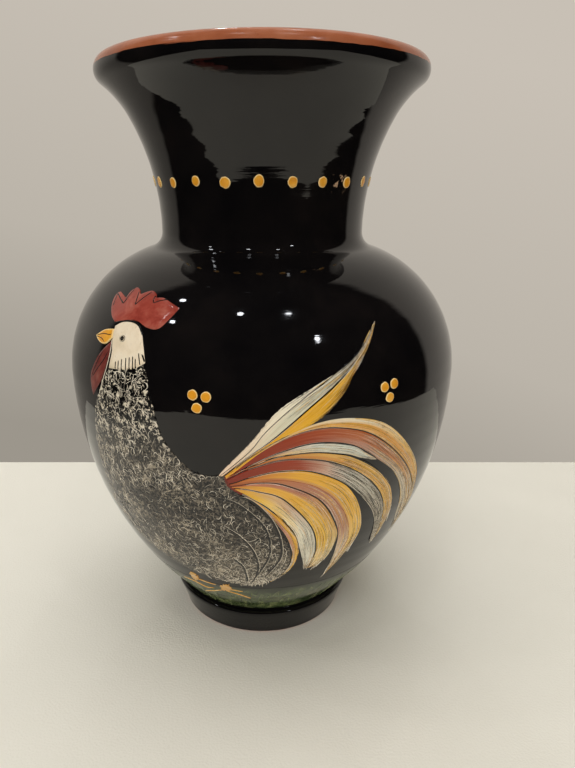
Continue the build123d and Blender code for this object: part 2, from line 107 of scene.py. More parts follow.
def circle_crossing(centre_a, radius_a, centre_b, radius_b):
    """Upper crossing of two circles of the wall's section."""
    run = centre_b[0] - centre_a[0]
    rise = centre_b[1] - centre_a[1]
    span = math.hypot(run, rise)
    along = (radius_a**2 - radius_b**2 + span**2) / (2 * span)
    across = math.sqrt(radius_a**2 - along**2)
    foot = (centre_a[0] + along * run / span, centre_a[1] + along * rise / span)
    pair = [
        (foot[0] - across * rise / span, foot[1] + across * run / span),
        (foot[0] + across * rise / span, foot[1] - across * run / span),
    ]
    return max(pair, key=lambda p: p[1])


def on_circle(centre, radius, angle):
    return (centre[0] + radius * math.cos(angle), centre[1] + radius * math.sin(angle))


def angle_to(centre, point):
    return math.atan2(point[1] - centre[1], point[0] - centre[0]) % (2 * math.pi)


def outer_bends():
    """Arcs of the outer surface, foot to lip: centre, radius, side, first and last angle."""
    low = (BELLY_RADIUS - LOW_BELLY_BEND, BELLY_HEIGHT)
    shoulder = (BELLY_RADIUS - SHOULDER_BEND, BELLY_HEIGHT)
    neck = (NECK_RADIUS + NECK_BEND, NECK_HEIGHT)
    base = circle_crossing(shoulder, SHOULDER_BEND + NECK_BASE_BEND, neck, NECK_BEND - NECK_BASE_BEND)
    low_angle = math.asin((STRAIGHT_TOP - BELLY_HEIGHT) / LOW_BELLY_BEND)
    flare_angle = math.pi - math.asin((FLARE_START - NECK_HEIGHT) / NECK_BEND)
    flare = on_circle(neck, NECK_BEND - FLARE_BEND, flare_angle)
    lip_angle = math.pi - math.asin((HEIGHT - LIP_BEND - flare[1]) / (FLARE_BEND + LIP_BEND))
    lip = on_circle(flare, FLARE_BEND + LIP_BEND, lip_angle)
    neck_angle = angle_to(neck, base)
    return [
        (low, LOW_BELLY_BEND, 1, low_angle, 0.0),
        (shoulder, SHOULDER_BEND, 1, 0.0, angle_to(shoulder, base)),
        (base, NECK_BASE_BEND, -1, angle_to(base, shoulder), neck_angle),
        (neck, NECK_BEND, -1, neck_angle, flare_angle),
        (flare, FLARE_BEND, -1, flare_angle, lip_angle),
        (lip, LIP_BEND, 1, lip_angle - math.pi, math.asin((RIM_BORDER - lip[1]) / LIP_BEND)),
    ]


BENDS = outer_bends()
LIP_CENTRE = BENDS[5][0]
BORDER_ANGLE = BENDS[5][4]


def section(height):
    """Radius of the finished surface and its outward normal, radial then vertical."""
    centre, radius, side, first, _ = BENDS[0]
    if height < STRAIGHT_TOP:
        top = on_circle(centre, radius, first)
        slope = -math.tan(first)
        long = math.hypot(1, slope)
        return top[0] - (top[1] - height) * slope, 1 / long, -slope / long
    for centre, radius, side, _, last in BENDS:
        if height <= on_circle(centre, radius, last)[1] + 1e-6:
            break
    sine = max(-1.0, min(1.0, (height - centre[1]) / radius))
    cosine = math.sqrt(1 - sine * sine)
    return centre[0] + side * radius * cosine, cosine, side * sine


def fade(value, low, high):
    """Smooth step from 0 at low to 1 at high."""
    t = max(0.0, min(1.0, (value - low) / (high - low)))
    return t * t * (3 - 2 * t)


def wobble(angle, height):
    """How far the hand-thrown surface stands off the true form."""
    around = heading(angle)
    lump = noise.noise(around * 1.2 + Vector((0, 0, height / 55)))
    drift = noise.noise(around + Vector((3, 1, height / 20)))
    ring = math.sin(height / 1.35 + 2.5 * drift)
    return (0.2 * lump + 0.022 * ring) * fade(height, 18, 34) * (1 - 0.7 * fade(height, 270, 284))


def at(angle, radius, height):
    """Point in the vase's frame, millimetres."""
    turn = math.radians(angle)
    return Vector((radius * math.sin(turn), -radius * math.cos(turn), height))


def surface(angle, height, lift=0.0):
    """Point on the glazed surface, raised along its normal."""
    radius, out, up = section(height)
    off = lift + wobble(angle, height)
    return at(angle, radius + off * out, height + off * up)


def facing(angle, height):
    """Outward normal of the surface."""
    _, out, up = section(height)
    return at(angle, out, up)


# ---------------------------------------------------------------- mesh building
class Shape:
    """Vertices with one UV each, and faces, gathered for one object."""

    def __init__(self):
        self.points = []
        self.uvs = []
        self.faces = []

    def add(self, point, u=0.0, v=0.0):
        self.points.append(point * MM)
        self.uvs.append((u, v))
        return len(self.points) - 1

    def band(self, row, other, closed=False):
        count = len(row) if closed else len(row) - 1
        for i in range(count):
            j = (i + 1) % len(row)
            self.faces.append((row[i], row[j], other[j], other[i]))

    def fan(self, centre, row):
        for i in range(len(row)):
            self.faces.append((centre, row[i], row[(i + 1) % len(row)]))

    def build(self, name):
        mesh = bpy.data.meshes.new(name)
        mesh.from_pydata(self.points, [], self.faces)
        layer = mesh.uv_layers.new(name="UVMap")
        for loop in mesh.loops:
            layer.data[loop.index].uv = self.uvs[loop.vertex_index]
        work = bmesh.new()
        work.from_mesh(mesh)
        bmesh.ops.recalc_face_normals(work, faces=work.faces)
        work.to_mesh(mesh)
        work.free()
        mesh.shade_smooth()
        mesh.set_sharp_from_angle(angle=math.radians(SHARP_EDGE))
        piece = bpy.data.objects.new(name, mesh)
        bpy.context.scene.collection.objects.link(piece)
        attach(piece, "root")
        return piece


def lathe(name, loop, turns=TURNS, poles=False):
    """Closed surface of revolution; loop(angle) gives (radius, height) pairs at that angle.

    With poles, the first and last pair lie on the axis.
    """
    shape = Shape()
    rows = []
    for k in range(turns):
        angle = WHOLE_TURN * k / turns
        pairs = loop(angle)
        if poles:
            pairs = pairs[1:-1]
        size = len(pairs)
        rows.append([shape.add(at(angle, r, z), k / turns, i / size) for i, (r, z) in enumerate(pairs)])
    for k, row in enumerate(rows):
        shape.band(row, rows[(k + 1) % turns], closed=not poles)
    if poles:
        ends = loop(0)
        for pair, side in ((ends[0], 0), (ends[-1], -1)):
            shape.fan(shape.add(at(0, *pair)), [row[side] for row in rows])
    return shape.build(name)


def bend_through(p, q, r, s, t):
    """Value between q and r, at share t, on a smooth curve through four values."""
    square = 2 * p - 5 * q + 4 * r - s
    cube = 3 * q - p - 3 * r + s
    return 0.5 * (2 * q + (r - p) * t + square * t * t + cube * t**3)


def rail(places, count):
    """Evenly spaced places on a smooth line through the given places."""
    first = [2 * a - b for a, b in zip(places[0], places[1])]
    last = [2 * a - b for a, b in zip(places[-1], places[-2])]
    knots = [first] + [list(p) for p in places] + [last]
    dense = []
    fine = 14
    for a, b, c, d in zip(knots, knots[1:], knots[2:], knots[3:]):
        for k in range(fine):
            t = k / fine
            dense.append([bend_through(*four, t) for four in zip(a, b, c, d)])
    dense.append(list(places[-1]))
    reach = [0.0]
    spots = [surface(*p) for p in dense]
    for p, q in zip(spots, spots[1:]):
        reach.append(reach[-1] + (q - p).length)
    found = []
    k = 0
    for i in range(count):
        goal = reach[-1] * i / (count - 1)
        while k < len(reach) - 2 and reach[k + 1] < goal:
            k += 1
        t = (goal - reach[k]) / max(reach[k + 1] - reach[k], 1e-9)
        found.append([a + (b - a) * t for a, b in zip(dense[k], dense[k + 1])])
    return found


def blend_place(a, b, t):
    return [p + (q - p) * t for p, q in zip(a, b)]


SUNK = -0.12                 # underside of the paint, inside the glaze
EDGE = ((0.0, 0.03), (0.1, 0.72), (0.28, 1.0))   # rounded paint edge: distance in, share of the lift


def close_sheet(shape, top, under):
    """Walls between the upper and lower grids of a sheet."""
    shape.band(top[0], under[0])
    shape.band(top[-1], under[-1])
    shape.band([row[0] for row in top], [row[0] for row in under])
    shape.band([row[-1] for row in top], [row[-1] for row in under])


def sheet(name, first, second, ragged, lift=FEATHER_LIFT, inset=0.3, cells=(96, 12), bulge=None):
    """Raised sheet of paint between two lines that run from root to tip."""
    along, across = cells
    a = rail(first, along + 1)
    b = rail(second, along + 1)
    shape = Shape()
    top, under = [], []
    for i in range(along + 1):
        u = i / along
        width = max((surface(*a[i]) - surface(*b[i])).length, 0.05)
        chew = [r * noise.noise(Vector((i * 0.9, 7.3 * s + len(name), 0))) for s, r in enumerate(ragged)]
        low = min((inset + chew[0]) / width, 0.46)
        high = 1 - min((inset + chew[1]) / width, 0.46)
        span = (high - low) * width
        steps = [min(d / span, 0.12 * k) for k, (d, _) in enumerate(EDGE)]
        shares = [s for _, s in EDGE]
        inner = [steps[-1] + (1 - 2 * steps[-1]) * j / across for j in range(1, across)]
        cross = steps + inner + [1 - s for s in reversed(steps)]
        lifts = shares + [1.0] * len(inner) + shares[::-1]
        end = fade(u, 0.0, 0.01) * (1 - 0.7 * fade(u, 0.985, 1.0))
        row, low_row = [], []
        for c, share in zip(cross, lifts):
            v = low + (high - low) * c
            spot = blend_place(a[i], b[i], v)
            if bulge:
                spot = bulge(spot, u, v)
            row.append(shape.add(surface(*spot, lift * share * max(end, 0.15)), u, v))
            low_row.append(shape.add(surface(*spot, SUNK), u, v))
        top.append(row)
        under.append(low_row)
    for grid in (top, under):
        for row, other in zip(grid, grid[1:]):
            shape.band(row, other)
    close_sheet(shape, top, under)
    return shape.build(name)


def add_patch(shape, border, centre, lift, rings=(0.35, 0.65, 0.85, 0.95, 1.0), round_edge=0.3):
    """Raised star-shaped patch of paint; UV is (centre to border, way round)."""
    size = len(border)
    middle = surface(*centre)
    reach = [max((surface(*p) - middle).length, 0.2) for p in border]
    for depth in (lift, None):
        rows = []
        for t in rings:
            row = []
            for k, place in enumerate(border):
                spot = blend_place(centre, place, t)
                inward = (1 - t) * reach[k]
                share = 0.05 + 0.95 * math.sqrt(max(0.0, 1 - (1 - min(inward / round_edge, 1.0)) ** 2))
                height = SUNK if depth is None else depth * share
                row.append(shape.add(surface(*spot, height), t, k / size))
            rows.append(row)
        tip = shape.add(surface(*centre, SUNK if depth is None else depth), 0.0, 0.0)
        shape.fan(tip, rows[0])
        for row, other in zip(rows, rows[1:]):
            shape.band(row, other, closed=True)
        if depth is None:
            shape.band(last, rows[-1], closed=True)
        last = rows[-1]


def add_ribbon(shape, places, width, low, high, tint, count, taper):
    """Thin raised stroke with a ridge along its middle; UV is (along, tint)."""
    line = rail(places, count)
    spots = [surface(*p, low) for p in line]
    rows = []
    for i, place in enumerate(line):
        u = i / (count - 1)
        ahead = spots[min(i + 1, count - 1)] - spots[max(i - 1, 0)]
        up = facing(*place)
        aside = ahead.cross(up).normalized()
        thin = min(1.0, u / taper, (1 - u) / taper)
        half = width / 2 * (0.25 + 0.75 * math.sqrt(max(thin, 0.0)))
        ridge = high - low
        rows.append([
            shape.add(spots[i] - aside * half, u, tint),
            shape.add(spots[i] + up * ridge, u, tint),
            shape.add(spots[i] + aside * half, u, tint),
        ])
    for row, other in zip(rows, rows[1:]):
        shape.band(row, other, closed=True)
    shape.faces.append(tuple(rows[0]))
    shape.faces.append(tuple(reversed(rows[-1])))


# ---------------------------------------------------------------- node materials
def colour(red, green, blue):
    """Linear colour of a paint chip given in 0 to 255 steps."""
    found = []
    for c in (red, green, blue):
        c /= 255
        found.append(c / 12.92 if c <= 0.04045 else ((c + 0.055) / 1.055) ** 2.4)
    return (*found, 1.0)


BLACK = (9, 8, 8)


class Nodes:
    """Helpers that add shader nodes to one tree."""

    def __init__(self, tree):
        self.tree = tree

    def node(self, kind, **settings):
        made = self.tree.nodes.new("ShaderNode" + kind)
        for key, value in settings.items():
            setattr(made, key, value)
        return made

    def feed(self, socket, value):
        if isinstance(value, bpy.types.NodeSocket):
            self.tree.links.new(value, socket)
        elif isinstance(value, tuple) and len(value) == 3 and socket.type == "RGBA":
            socket.default_value = colour(*value)
        else:
            socket.default_value = value

    def math(self, operation, a, b=0.0, clamp=False):
        made = self.node("Math", operation=operation, use_clamp=clamp)
        self.feed(made.inputs[0], a)
        self.feed(made.inputs[1], b)
        return made.outputs[0]

    def step(self, value, low, high, bottom=0.0, top=1.0, kind="SMOOTHSTEP"):
        """Step of a value between two limits, smooth unless said otherwise."""
        made = self.node("MapRange", interpolation_type=kind)
        for socket, v in zip(made.inputs[:5], (value, low, high, bottom, top)):
            self.feed(socket, v)
        return made.outputs[0]

    def mix(self, share, a, b, blend="MIX"):
        made = self.node("Mix", data_type="RGBA", blend_type=blend)
        self.feed(made.inputs[0], share)
        self.feed(made.inputs[6], a)
        self.feed(made.inputs[7], b)
        return made.outputs[2]

    def ramp(self, value, stops):
        made = self.node("ValToRGB")
        band = made.color_ramp
        while len(band.elements) < len(stops):
            band.elements.new(0.5)
        for element, (place, *tone) in zip(band.elements, stops):
            element.position = place
            element.color = colour(*tone)
        self.feed(made.inputs[0], value)
        return made.outputs[0]

    def stretched(self, vector, x, y, z):
        made = self.node("Mapping")
        self.feed(made.inputs[0], vector)
        made.inputs["Scale"].default_value = (x, y, z)
        return made.outputs[0]

    def noise(self, vector, scale=1.0, detail=2.0, rough=0.5, warp=0.0):
        made = self.node("TexNoise")
        self.feed(made.inputs["Vector"], vector)
        made.inputs["Scale"].default_value = scale
        made.inputs["Detail"].default_value = detail
        made.inputs["Roughness"].default_value = rough
        made.inputs["Distortion"].default_value = warp
        return made.outputs[0]

    def cells(self, vector, scale):
        made = self.node("TexVoronoi")
        self.feed(made.inputs["Vector"], vector)
        made.inputs["Scale"].default_value = scale
        return made.outputs[0]

    def place(self):
        return self.node("TexCoord").outputs["Object"]

    def parts(self, vector):
        made = self.node("SeparateXYZ")
        self.feed(made.inputs[0], vector)
        return made.outputs

    def uv(self):
        """UV vector and its two parts."""
        vector = self.node("TexCoord").outputs["UV"]
        u, v, _ = self.parts(vector)
        return vector, u, v

    def bump(self, height, distance, under=None):
        made = self.node("Bump")
        made.inputs["Strength"].default_value = 1.0
        made.inputs["Distance"].default_value = distance
        self.feed(made.inputs["Height"], height)
        if under is not None:
            self.feed(made.inputs["Normal"], under)
        return made.outputs[0]


class Finish(Nodes):
    """Node material around one Principled shader."""

    def __init__(self, name):
        self.material = bpy.data.materials.new(name)
        self.material.use_nodes = True
        super().__init__(self.material.node_tree)
        self.shader = self.tree.nodes["Principled BSDF"]

    def done(self, base, rough, normal=None, **extra):
        self.feed(self.shader.inputs["Base Color"], base)
        self.feed(self.shader.inputs["Roughness"], rough)
        if normal is not None:
            self.feed(self.shader.inputs["Normal"], normal)
        for key, value in extra.items():
            self.feed(self.shader.inputs[key.replace("_", " ")], value)
        return self.material


def glaze_relief(f, place, rings=0.00004, peel=0.000006):
    """Throwing marks under the glaze and the fine ripple of its surface."""
    around = f.noise(f.stretched(place, 6, 6, 330), 1.0, 3.0, 0.55)
    jagged = f.noise(f.stretched(place, 70, 70, 380), 1.0, 3.0, 0.6)
    skin = f.noise(place, 420, 2.0, 0.5)
    broad = f.noise(place, 60, 2.0, 0.5)
    normal = f.bump(jagged, rings * 0.35, under=f.bump(around, rings))
    normal = f.bump(broad, peel * 6, under=normal)
    return f.bump(skin, peel, under=normal)


GLAZE_FLAW = (40, 236)       # scuffed place in the glaze of the neck


def black_glaze():
    f = Finish("black_glaze_finish")
    place = f.place()
    cloud = f.noise(place, 35, 4.0, 0.6)
    tone = f.ramp(cloud, [(0.35, 8, 7, 8), (0.55, 14, 12, 12), (0.75, 22, 18, 17)])
    pits = f.step(f.cells(place, 260), 0.02, 0.06, 1.0, 0.0)
    tone = f.mix(f.math("MULTIPLY", pits, 0.25), tone, (60, 52, 46))
    near = f.node("VectorMath", operation="DISTANCE")
    f.feed(near.inputs[0], place)
    near.inputs[1].default_value = surface(*GLAZE_FLAW) * MM
    torn = f.noise(place, 260, 4.0, 0.7, 0.3)
    flaw = f.math("MULTIPLY", f.step(near.outputs[1], 0.002, 0.0065, 1.0, 0.0), f.step(torn, 0.54, 0.58))
    tone = f.mix(flaw, tone, (186, 154, 124))
    rough = f.step(f.noise(place, 90, 3.0, 0.6), 0.35, 0.75, 0.025, 0.075)
    return f.done(tone, rough, glaze_relief(f, place), IOR=1.45)


def terracotta_band():
    f = Finish("rim_slip_finish")
    place = f.place()
    grain = f.noise(place, 900, 3.0, 0.6)
    cloud = f.noise(place, 45, 3.0, 0.6)
    tone = f.ramp(cloud, [(0.3, 134, 72, 45), (0.5, 156, 88, 56), (0.7, 170, 104, 72)])
    tone = f.mix(f.step(grain, 0.55, 0.75, 0.0, 0.35), tone, (120, 60, 38))
    rough = f.step(cloud, 0.3, 0.7, 0.12, 0.24)
    return f.done(tone, rough, glaze_relief(f, place, 0.00002, 0.00001))


def lining_glaze():
    f = Finish("clear_glaze_finish")
    place = f.place()
    cloud = f.noise(place, 28, 4.0, 0.6)
    rings = f.noise(f.stretched(place, 9, 9, 260), 1.0, 3.0, 0.6)
    tone = f.ramp(cloud, [(0.3, 150, 82, 50), (0.5, 172, 98, 60), (0.7, 188, 116, 76)])
    tone = f.mix(f.step(rings, 0.45, 0.7, 0.0, 0.45), tone, (128, 66, 42))
    rough = f.step(cloud, 0.3, 0.7, 0.1, 0.22)
    return f.done(tone, rough, glaze_relief(f, place, 0.00006, 0.00001))


def bare_clay():
    f = Finish("terracotta_clay_finish")
    place = f.place()
    grain = f.noise(place, 700, 4.0, 0.65)
    cloud = f.noise(place, 40, 3.0, 0.6)
    tone = f.ramp(cloud, [(0.3, 158, 92, 62), (0.5, 178, 108, 74), (0.7, 194, 128, 92)])
    tone = f.mix(f.step(grain, 0.55, 0.7, 0.0, 0.5), tone, (120, 68, 46))
    rings = f.noise(f.stretched(place, 20, 20, 400), 1.0, 3.0, 0.6)
    normal = f.bump(grain, 0.00015, under=f.bump(rings, 0.0002))
    return f.done(tone, f.step(grain, 0.3, 0.7, 0.75, 0.92), normal)


def joining_slip():
    f = Finish("joining_slip_finish")
    place = f.place()
    grain = f.noise(place, 500, 4.0, 0.65)
    tone = f.ramp(grain, [(0.3, 140, 82, 56), (0.7, 172, 110, 80)])
    return f.done(tone, f.step(grain, 0.3, 0.7, 0.8, 0.95), f.bump(grain, 0.0002))


def feather(name, outer, inner, split=0.55, soft=0.18, dry=None, dry_edge=None):
    """Brushed slip whose colour runs from root to tip, with other colours on its inner side.

    dry is (first, last): where along the feather the brush runs out.
    dry_edge is (first, last) across it, and works towards the tip.
    """
    f = Finish(name + "_finish")
    vector, u, v = f.uv()
    shift = float(len(name)) + ord(name[5])
    seed = f.node("Mapping")
    f.feed(seed.inputs[0], vector)
    seed.inputs["Location"].default_value = (shift, shift * 0.37, shift * 0.11)
    vector = seed.outputs[0]
    streak = f.noise(f.stretched(vector, 3.5, 16, 1), 1.0, 3.0, 0.6)
    fine = f.noise(f.stretched(vector, 7, 75, 1), 1.0, 2.0, 0.55)
    push = f.math("MULTIPLY", f.math("SUBTRACT", streak, 0.5), 0.22)
    run = f.math("ADD", u, push, clamp=True)
    lean = f.math("ADD", v, push)
    soft *= 0.7
    tone = f.mix(f.step(lean, split - soft, split + soft), f.ramp(run, outer), f.ramp(run, inner))
    tone = f.mix(f.step(fine, 0.5, 0.7, 0.0, 0.4), tone, f.mix(1.0, tone, (176, 142, 118), "MULTIPLY"))
    pale = f.math("MULTIPLY", f.step(fine, 0.3, 0.44, 0.45, 0.0), f.step(u, 0.25, 0.5))
    tone = f.mix(pale, tone, (246, 234, 210))
    lack = None
    if dry:
        lack = f.step(u, dry[0], dry[1])
    if dry_edge:
        side = f.step(v, dry_edge[0], dry_edge[1])
        side = f.math("MULTIPLY", side, f.step(u, 0.25, 0.75))
        lack = side if lack is None else f.math("MAXIMUM", lack, side)
    if lack is not None:
        bristle = f.noise(f.stretched(vector, 4, 42, 1), 1.0, 4.0, 0.7)
        bare = f.step(f.math("ADD", f.math("MULTIPLY", lack, 0.42), bristle), 0.72, 0.78)
        tone = f.mix(bare, tone, BLACK)
    grit = f.noise(f.place(), 900, 2.0, 0.5)
    normal = f.bump(grit, 0.00001, under=f.bump(fine, 0.00004))
    return f.done(tone, f.step(streak, 0.3, 0.7, 0.1, 0.2), normal)


def plumage_finish():
    """Cream slip sponged and scratched through black, coarse at the neck and fine below."""
    f = Finish("speckled_slip_finish")
    place = f.place()
    z = f.parts(place)[2]
    coarse = f.noise(place, 430, 3.0, 0.65, 0.9)
    fine = f.noise(place, 900, 3.0, 0.7, 0.6)
    patches = f.noise(place, 70, 3.0, 0.55)
    low = f.step(z, 0.118, 0.142, 1.0, 0.0)
    coarse_mask = f.step(coarse, 0.53, 0.6)
    fine_mask = f.step(fine, 0.47, 0.62)
    share = f.math("ADD", f.math("MULTIPLY", coarse_mask, 0.55), f.math("MULTIPLY", fine_mask, 0.45))
    share = f.math("ADD", share, f.step(z, 0.055, 0.1, 0.2, 0.0), clamp=True)
    dark = f.mix(fine_mask, (8, 7, 7), (74, 66, 57))
    calm = f.mix(share, (9, 8, 8), (186, 172, 148))
    calm = f.mix(f.step(patches, 0.36, 0.6, 0.0, 0.85), calm, dark)
    bold = f.mix(coarse_mask, (10, 9, 9), (224, 212, 188))
    tone = f.mix(low, bold, calm)
    grey = f.step(z, 0.05, 0.08, 0.2, 0.0)
    tone = f.mix(grey, tone, (104, 99, 90))
    normal = f.bump(coarse, 0.00008, under=f.bump(fine, 0.00004))
    return f.done(tone, f.step(fine, 0.3, 0.7, 0.12, 0.24), normal)


def plain_slip(name, stops, rim=None, spots=0.0):
    """Slip in one hue that pools and thins, with a paler or darker rim where it dried."""
    f = Finish(name)
    place = f.place()
    _, u, _ = f.uv()
    cloud = f.noise(place, 120, 3.0, 0.6, 0.4)
    grit = f.noise(place, 900, 2.0, 0.6)
    tone = f.ramp(cloud, stops)
    if rim:
        tone = f.mix(f.step(u, 0.76, 0.95, 0.0, 0.85), tone, rim)
    if spots:
        stain = f.mix(1.0, tone, (120, 100, 90), "MULTIPLY")
        tone = f.mix(f.step(grit, 0.62, 0.72, 0.0, spots), tone, stain)
    normal = f.bump(grit, 0.000015, under=f.bump(cloud, 0.00006))
    return f.done(tone, f.step(cloud, 0.3, 0.7, 0.1, 0.2), normal)


def stroke_finish(name, tones):
    """Finish of many thin strokes, whose tint is the UV's second part."""
    f = Finish(name)
    _, _, v = f.uv()
    grit = f.noise(f.place(), 600, 3.0, 0.6)
    tone = f.ramp(v, tones)
    tone = f.mix(f.step(grit, 0.45, 0.7, 0.0, 0.5), tone, f.mix(1.0, tone, (110, 105, 100), "MULTIPLY"))
    return f.done(tone, f.step(grit, 0.3, 0.7, 0.14, 0.2), f.bump(grit, 0.00003))


def grass_finish():
    """Green wash over the black, strongest low down and gone at the top."""
    f = Finish("grass_green_finish")
    place = f.place()
    z = f.parts(place)[2]
    wash = f.noise(f.stretched(place, 60, 60, 130), 1.0, 4.0, 0.65, 0.5)
    blades = f.noise(f.stretched(place, 260, 260, 60), 1.0, 3.0, 0.6, 0.4)
    green = f.ramp(blades, [(0.3, 48, 60, 40), (0.5, 84, 98, 62), (0.7, 134, 140, 96)])
    low = f.step(z, 0.0172, 0.0188, 0.0, 1.0)
    level = f.math("ADD", z, f.math("MULTIPLY", f.math("SUBTRACT", wash, 0.5), 0.016))
    high = f.step(level, 0.037, 0.0475, 1.0, 0.0)
    share = f.math("MULTIPLY", f.math("MULTIPLY", low, high), f.step(wash, 0.25, 0.6, 0.55, 1.0))
    return f.done(f.mix(share, BLACK, green), f.step(wash, 0.3, 0.7, 0.08, 0.18), glaze_relief(f, place))


# ---------------------------------------------------------------- coats
def bend_run(centre, radius, first, last, side=1):
    """Evenly spaced (radius, height, out, up) along an arc of the section."""
    count = max(2, math.ceil(abs(last - first) * radius / STEP))
    found = []
    for k in range(count + 1):
        angle = first + (last - first) * k / count
        spot = on_circle(centre, radius, angle)
        found.append((*spot, side * math.cos(angle), side * math.sin(angle)))
    return found


def outer_path():
    """Glazed surface from the foot's lower edge to the rim band: radius, height, out, up."""
    foot = [(46.25, 1.0), (46.45, 2.0), (47.4, 5.0), (48.75, 9.0), (50.05, 12.8), (50.62, 14.4), (50.7, 15.0),
            (50.45, 15.6), (49.95, 16.05), (49.2, 16.28), (48.2, 16.34), (47.45, 16.4), (47.28, 16.62),
            (47.5, 16.9), (48.3, 17.36)]
    run = []
    for k, (r, z) in enumerate(foot):
        before = foot[max(k - 1, 0)]
        after = foot[min(k + 1, len(foot) - 1)]
        dr, dz = after[0] - before[0], after[1] - before[1]
        long = math.hypot(dr, dz)
        run.append((r, z, dz / long, -dr / long))
    level = foot[-1][1]
    count = 12
    for k in range(1, count):
        z = level + (STRAIGHT_TOP - level) * k / count
        r, out, up = section(z)
        run.append((r, z, out, up))
    for centre, radius, side, first, last in BENDS:
        run += bend_run(centre, radius, first, last, side)[1:]
    return run


OUTER = outer_path()


def coat_loop(angle):
    face = []
    for r, z, out, up in OUTER:
        off = wobble(angle, z)
        face.append((r + off * out, z + off * up))
    back = [(r - COAT * out, z - COAT * up) for r, z, out, up in OUTER[::-3]]
    return face + back


def inner_lip():
    return (INNER_LIP_RADIUS, HEIGHT - INNER_LIP_BEND)


def inner_neck():
    """Centre and radius of the arc inside the neck."""
    lip = inner_lip()
    run = NECK_INNER_RADIUS - lip[0]
    rise = lip[1] - NECK_HEIGHT
    radius = (run**2 + rise**2 - INNER_LIP_BEND**2) / (2 * (-run - INNER_LIP_BEND))
    return (NECK_INNER_RADIUS + radius, NECK_HEIGHT), radius


def rim_loop(angle):
    """Slip band over the lip, whose borders waver a little."""
    around = heading(angle)
    waver = 0.35 * noise.noise(around * 3.5) + 0.18 * noise.noise(around * 14)
    drop = waver / LIP_BEND
    outer = bend_run(LIP_CENTRE, LIP_BEND, BORDER_ANGLE - 0.03 + drop, math.pi / 2)
    last = angle_to(inner_neck()[0], inner_lip())
    inner = []
    for k in range(7):
        a = math.pi / 2 + (last - math.pi / 2) * k / 6
        inner.append((*on_circle(inner_lip(), INNER_LIP_BEND, a), math.cos(a), math.sin(a)))
    path = []
    for k, (r, z, out, up) in enumerate(outer + inner):
        proud = 0.07 * fade(k, 0, 1.5)
        lump = 0.1 * noise.noise(around * 2.2 + Vector((0, 0, k / 6)))
        top = 1 - fade(z, HEIGHT - 1.5, HEIGHT)
        path.append((r + (proud + lump) * out * top, z + proud * top + min(lump, 0.0) * up))
    back = [(r - COAT * out, z - COAT * up) for r, z, out, up in reversed(outer + inner)]
    return path + back


def lining_path(depth):
    """Inner surface from the lip down to the axis, sunk by depth."""
    centre, radius = inner_neck()
    shoulder = BENDS[1][0]
    low = BENDS[0][0]
    shoulder_radius = SHOULDER_BEND - WALL + depth
    low_radius = LOW_BELLY_BEND - WALL + depth
    corner = circle_crossing(shoulder, shoulder_radius, centre, radius - depth)
    bend_height = FLOOR_HEIGHT + FLOOR_BEND
    reach = LOW_BELLY_BEND - WALL - FLOOR_BEND
    bend = (low[0] + math.sqrt(reach**2 - (bend_height - low[1]) ** 2), bend_height)
    floor_angle = angle_to(low, bend) - 2 * math.pi
    run = bend_run(centre, radius - depth, angle_to(centre, inner_lip()), angle_to(centre, corner), -1)
    run += bend_run(shoulder, shoulder_radius, angle_to(shoulder, corner), 0.0)[1:]
    run += bend_run(low, low_radius, 0.0, floor_angle)[1:]
    run += bend_run(bend, FLOOR_BEND + depth, floor_angle, -math.pi / 2)[1:]
    floor = FLOOR_HEIGHT - depth
    steps = 16
    for k in range(1, steps + 1):
        run.append((bend[0] * (1 - k / steps), floor, 0.0, -1.0))
    return run


LINING = lining_path(0.0)[::2]
LINING_BACK = lining_path(COAT)[::4]


def lining_loop(angle):
    around = heading(angle)
    face = []
    for r, z, out, up in LINING:
        ridge = math.sin(z / 1.6 + math.radians(angle)) * fade(r, 4, 20)
        lump = noise.noise(around * (r / 70) + Vector((5, 2, z / 40))) * fade(r, 0, 20)
        off = (0.13 * ridge + 0.12 * lump) * fade(HEIGHT - z, 3, 14)
        face.append((r + off * out, z + off * up))
    back = [(r, z) for r, z, _, _ in LINING_BACK]
    return [(0.0, face[-1][1])] + face[-2::-1] + back[:-1] + [(0.0, back[-1][1])]


GRASS_LOW = 17.4
GRASS_HIGH = 46.0
GRASS_LIFT = 0.06
GRASS_DEPTH = 0.3


def grass_ring(angle, share, lift, uneven):
    """(radius, height) at a share of the grass band's height, raised off the glaze by lift."""
    z = GRASS_LOW + (GRASS_HIGH - GRASS_LOW) * share
    r, out, up = section(z)
    off = lift + uneven * wobble(angle, z)
    return (r + off * out, z + off * up)


def grass_loop(angle):
    face = [grass_ring(angle, k / 24, GRASS_LIFT, 1) for k in range(25)]
    return face + [grass_ring(angle, 1 - k / 4, -GRASS_DEPTH, 0) for k in range(5)]


def dress(piece, material, slot, *nodes):
    piece.data.materials.clear()
    piece.data.materials.append(material)
    if nodes:
        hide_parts(*nodes)
    return piece


dress(lathe("glaze_coat", coat_loop), black_glaze(), "black_glaze", "black_glaze_coat")
dress(lathe("rim_band", rim_loop), terracotta_band(), "rim_slip", "rim_slip_band")
dress(lathe("lining", lining_loop, 180, poles=True), lining_glaze(), "clear_glaze", "clear_glaze_lining")
dress(lathe("grass_wash", grass_loop), grass_finish(), "grass_green_slip", "grass_band")
CLAY = bare_clay()
SLIP = joining_slip()
BARE = {"foot_ring": CLAY, "belly_wall": CLAY, "neck_wall": CLAY, "foot_lute": SLIP, "neck_lute": SLIP}
for node, material in BARE.items():
    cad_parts[node].data.materials.clear()
    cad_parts[node].data.materials.append(material)

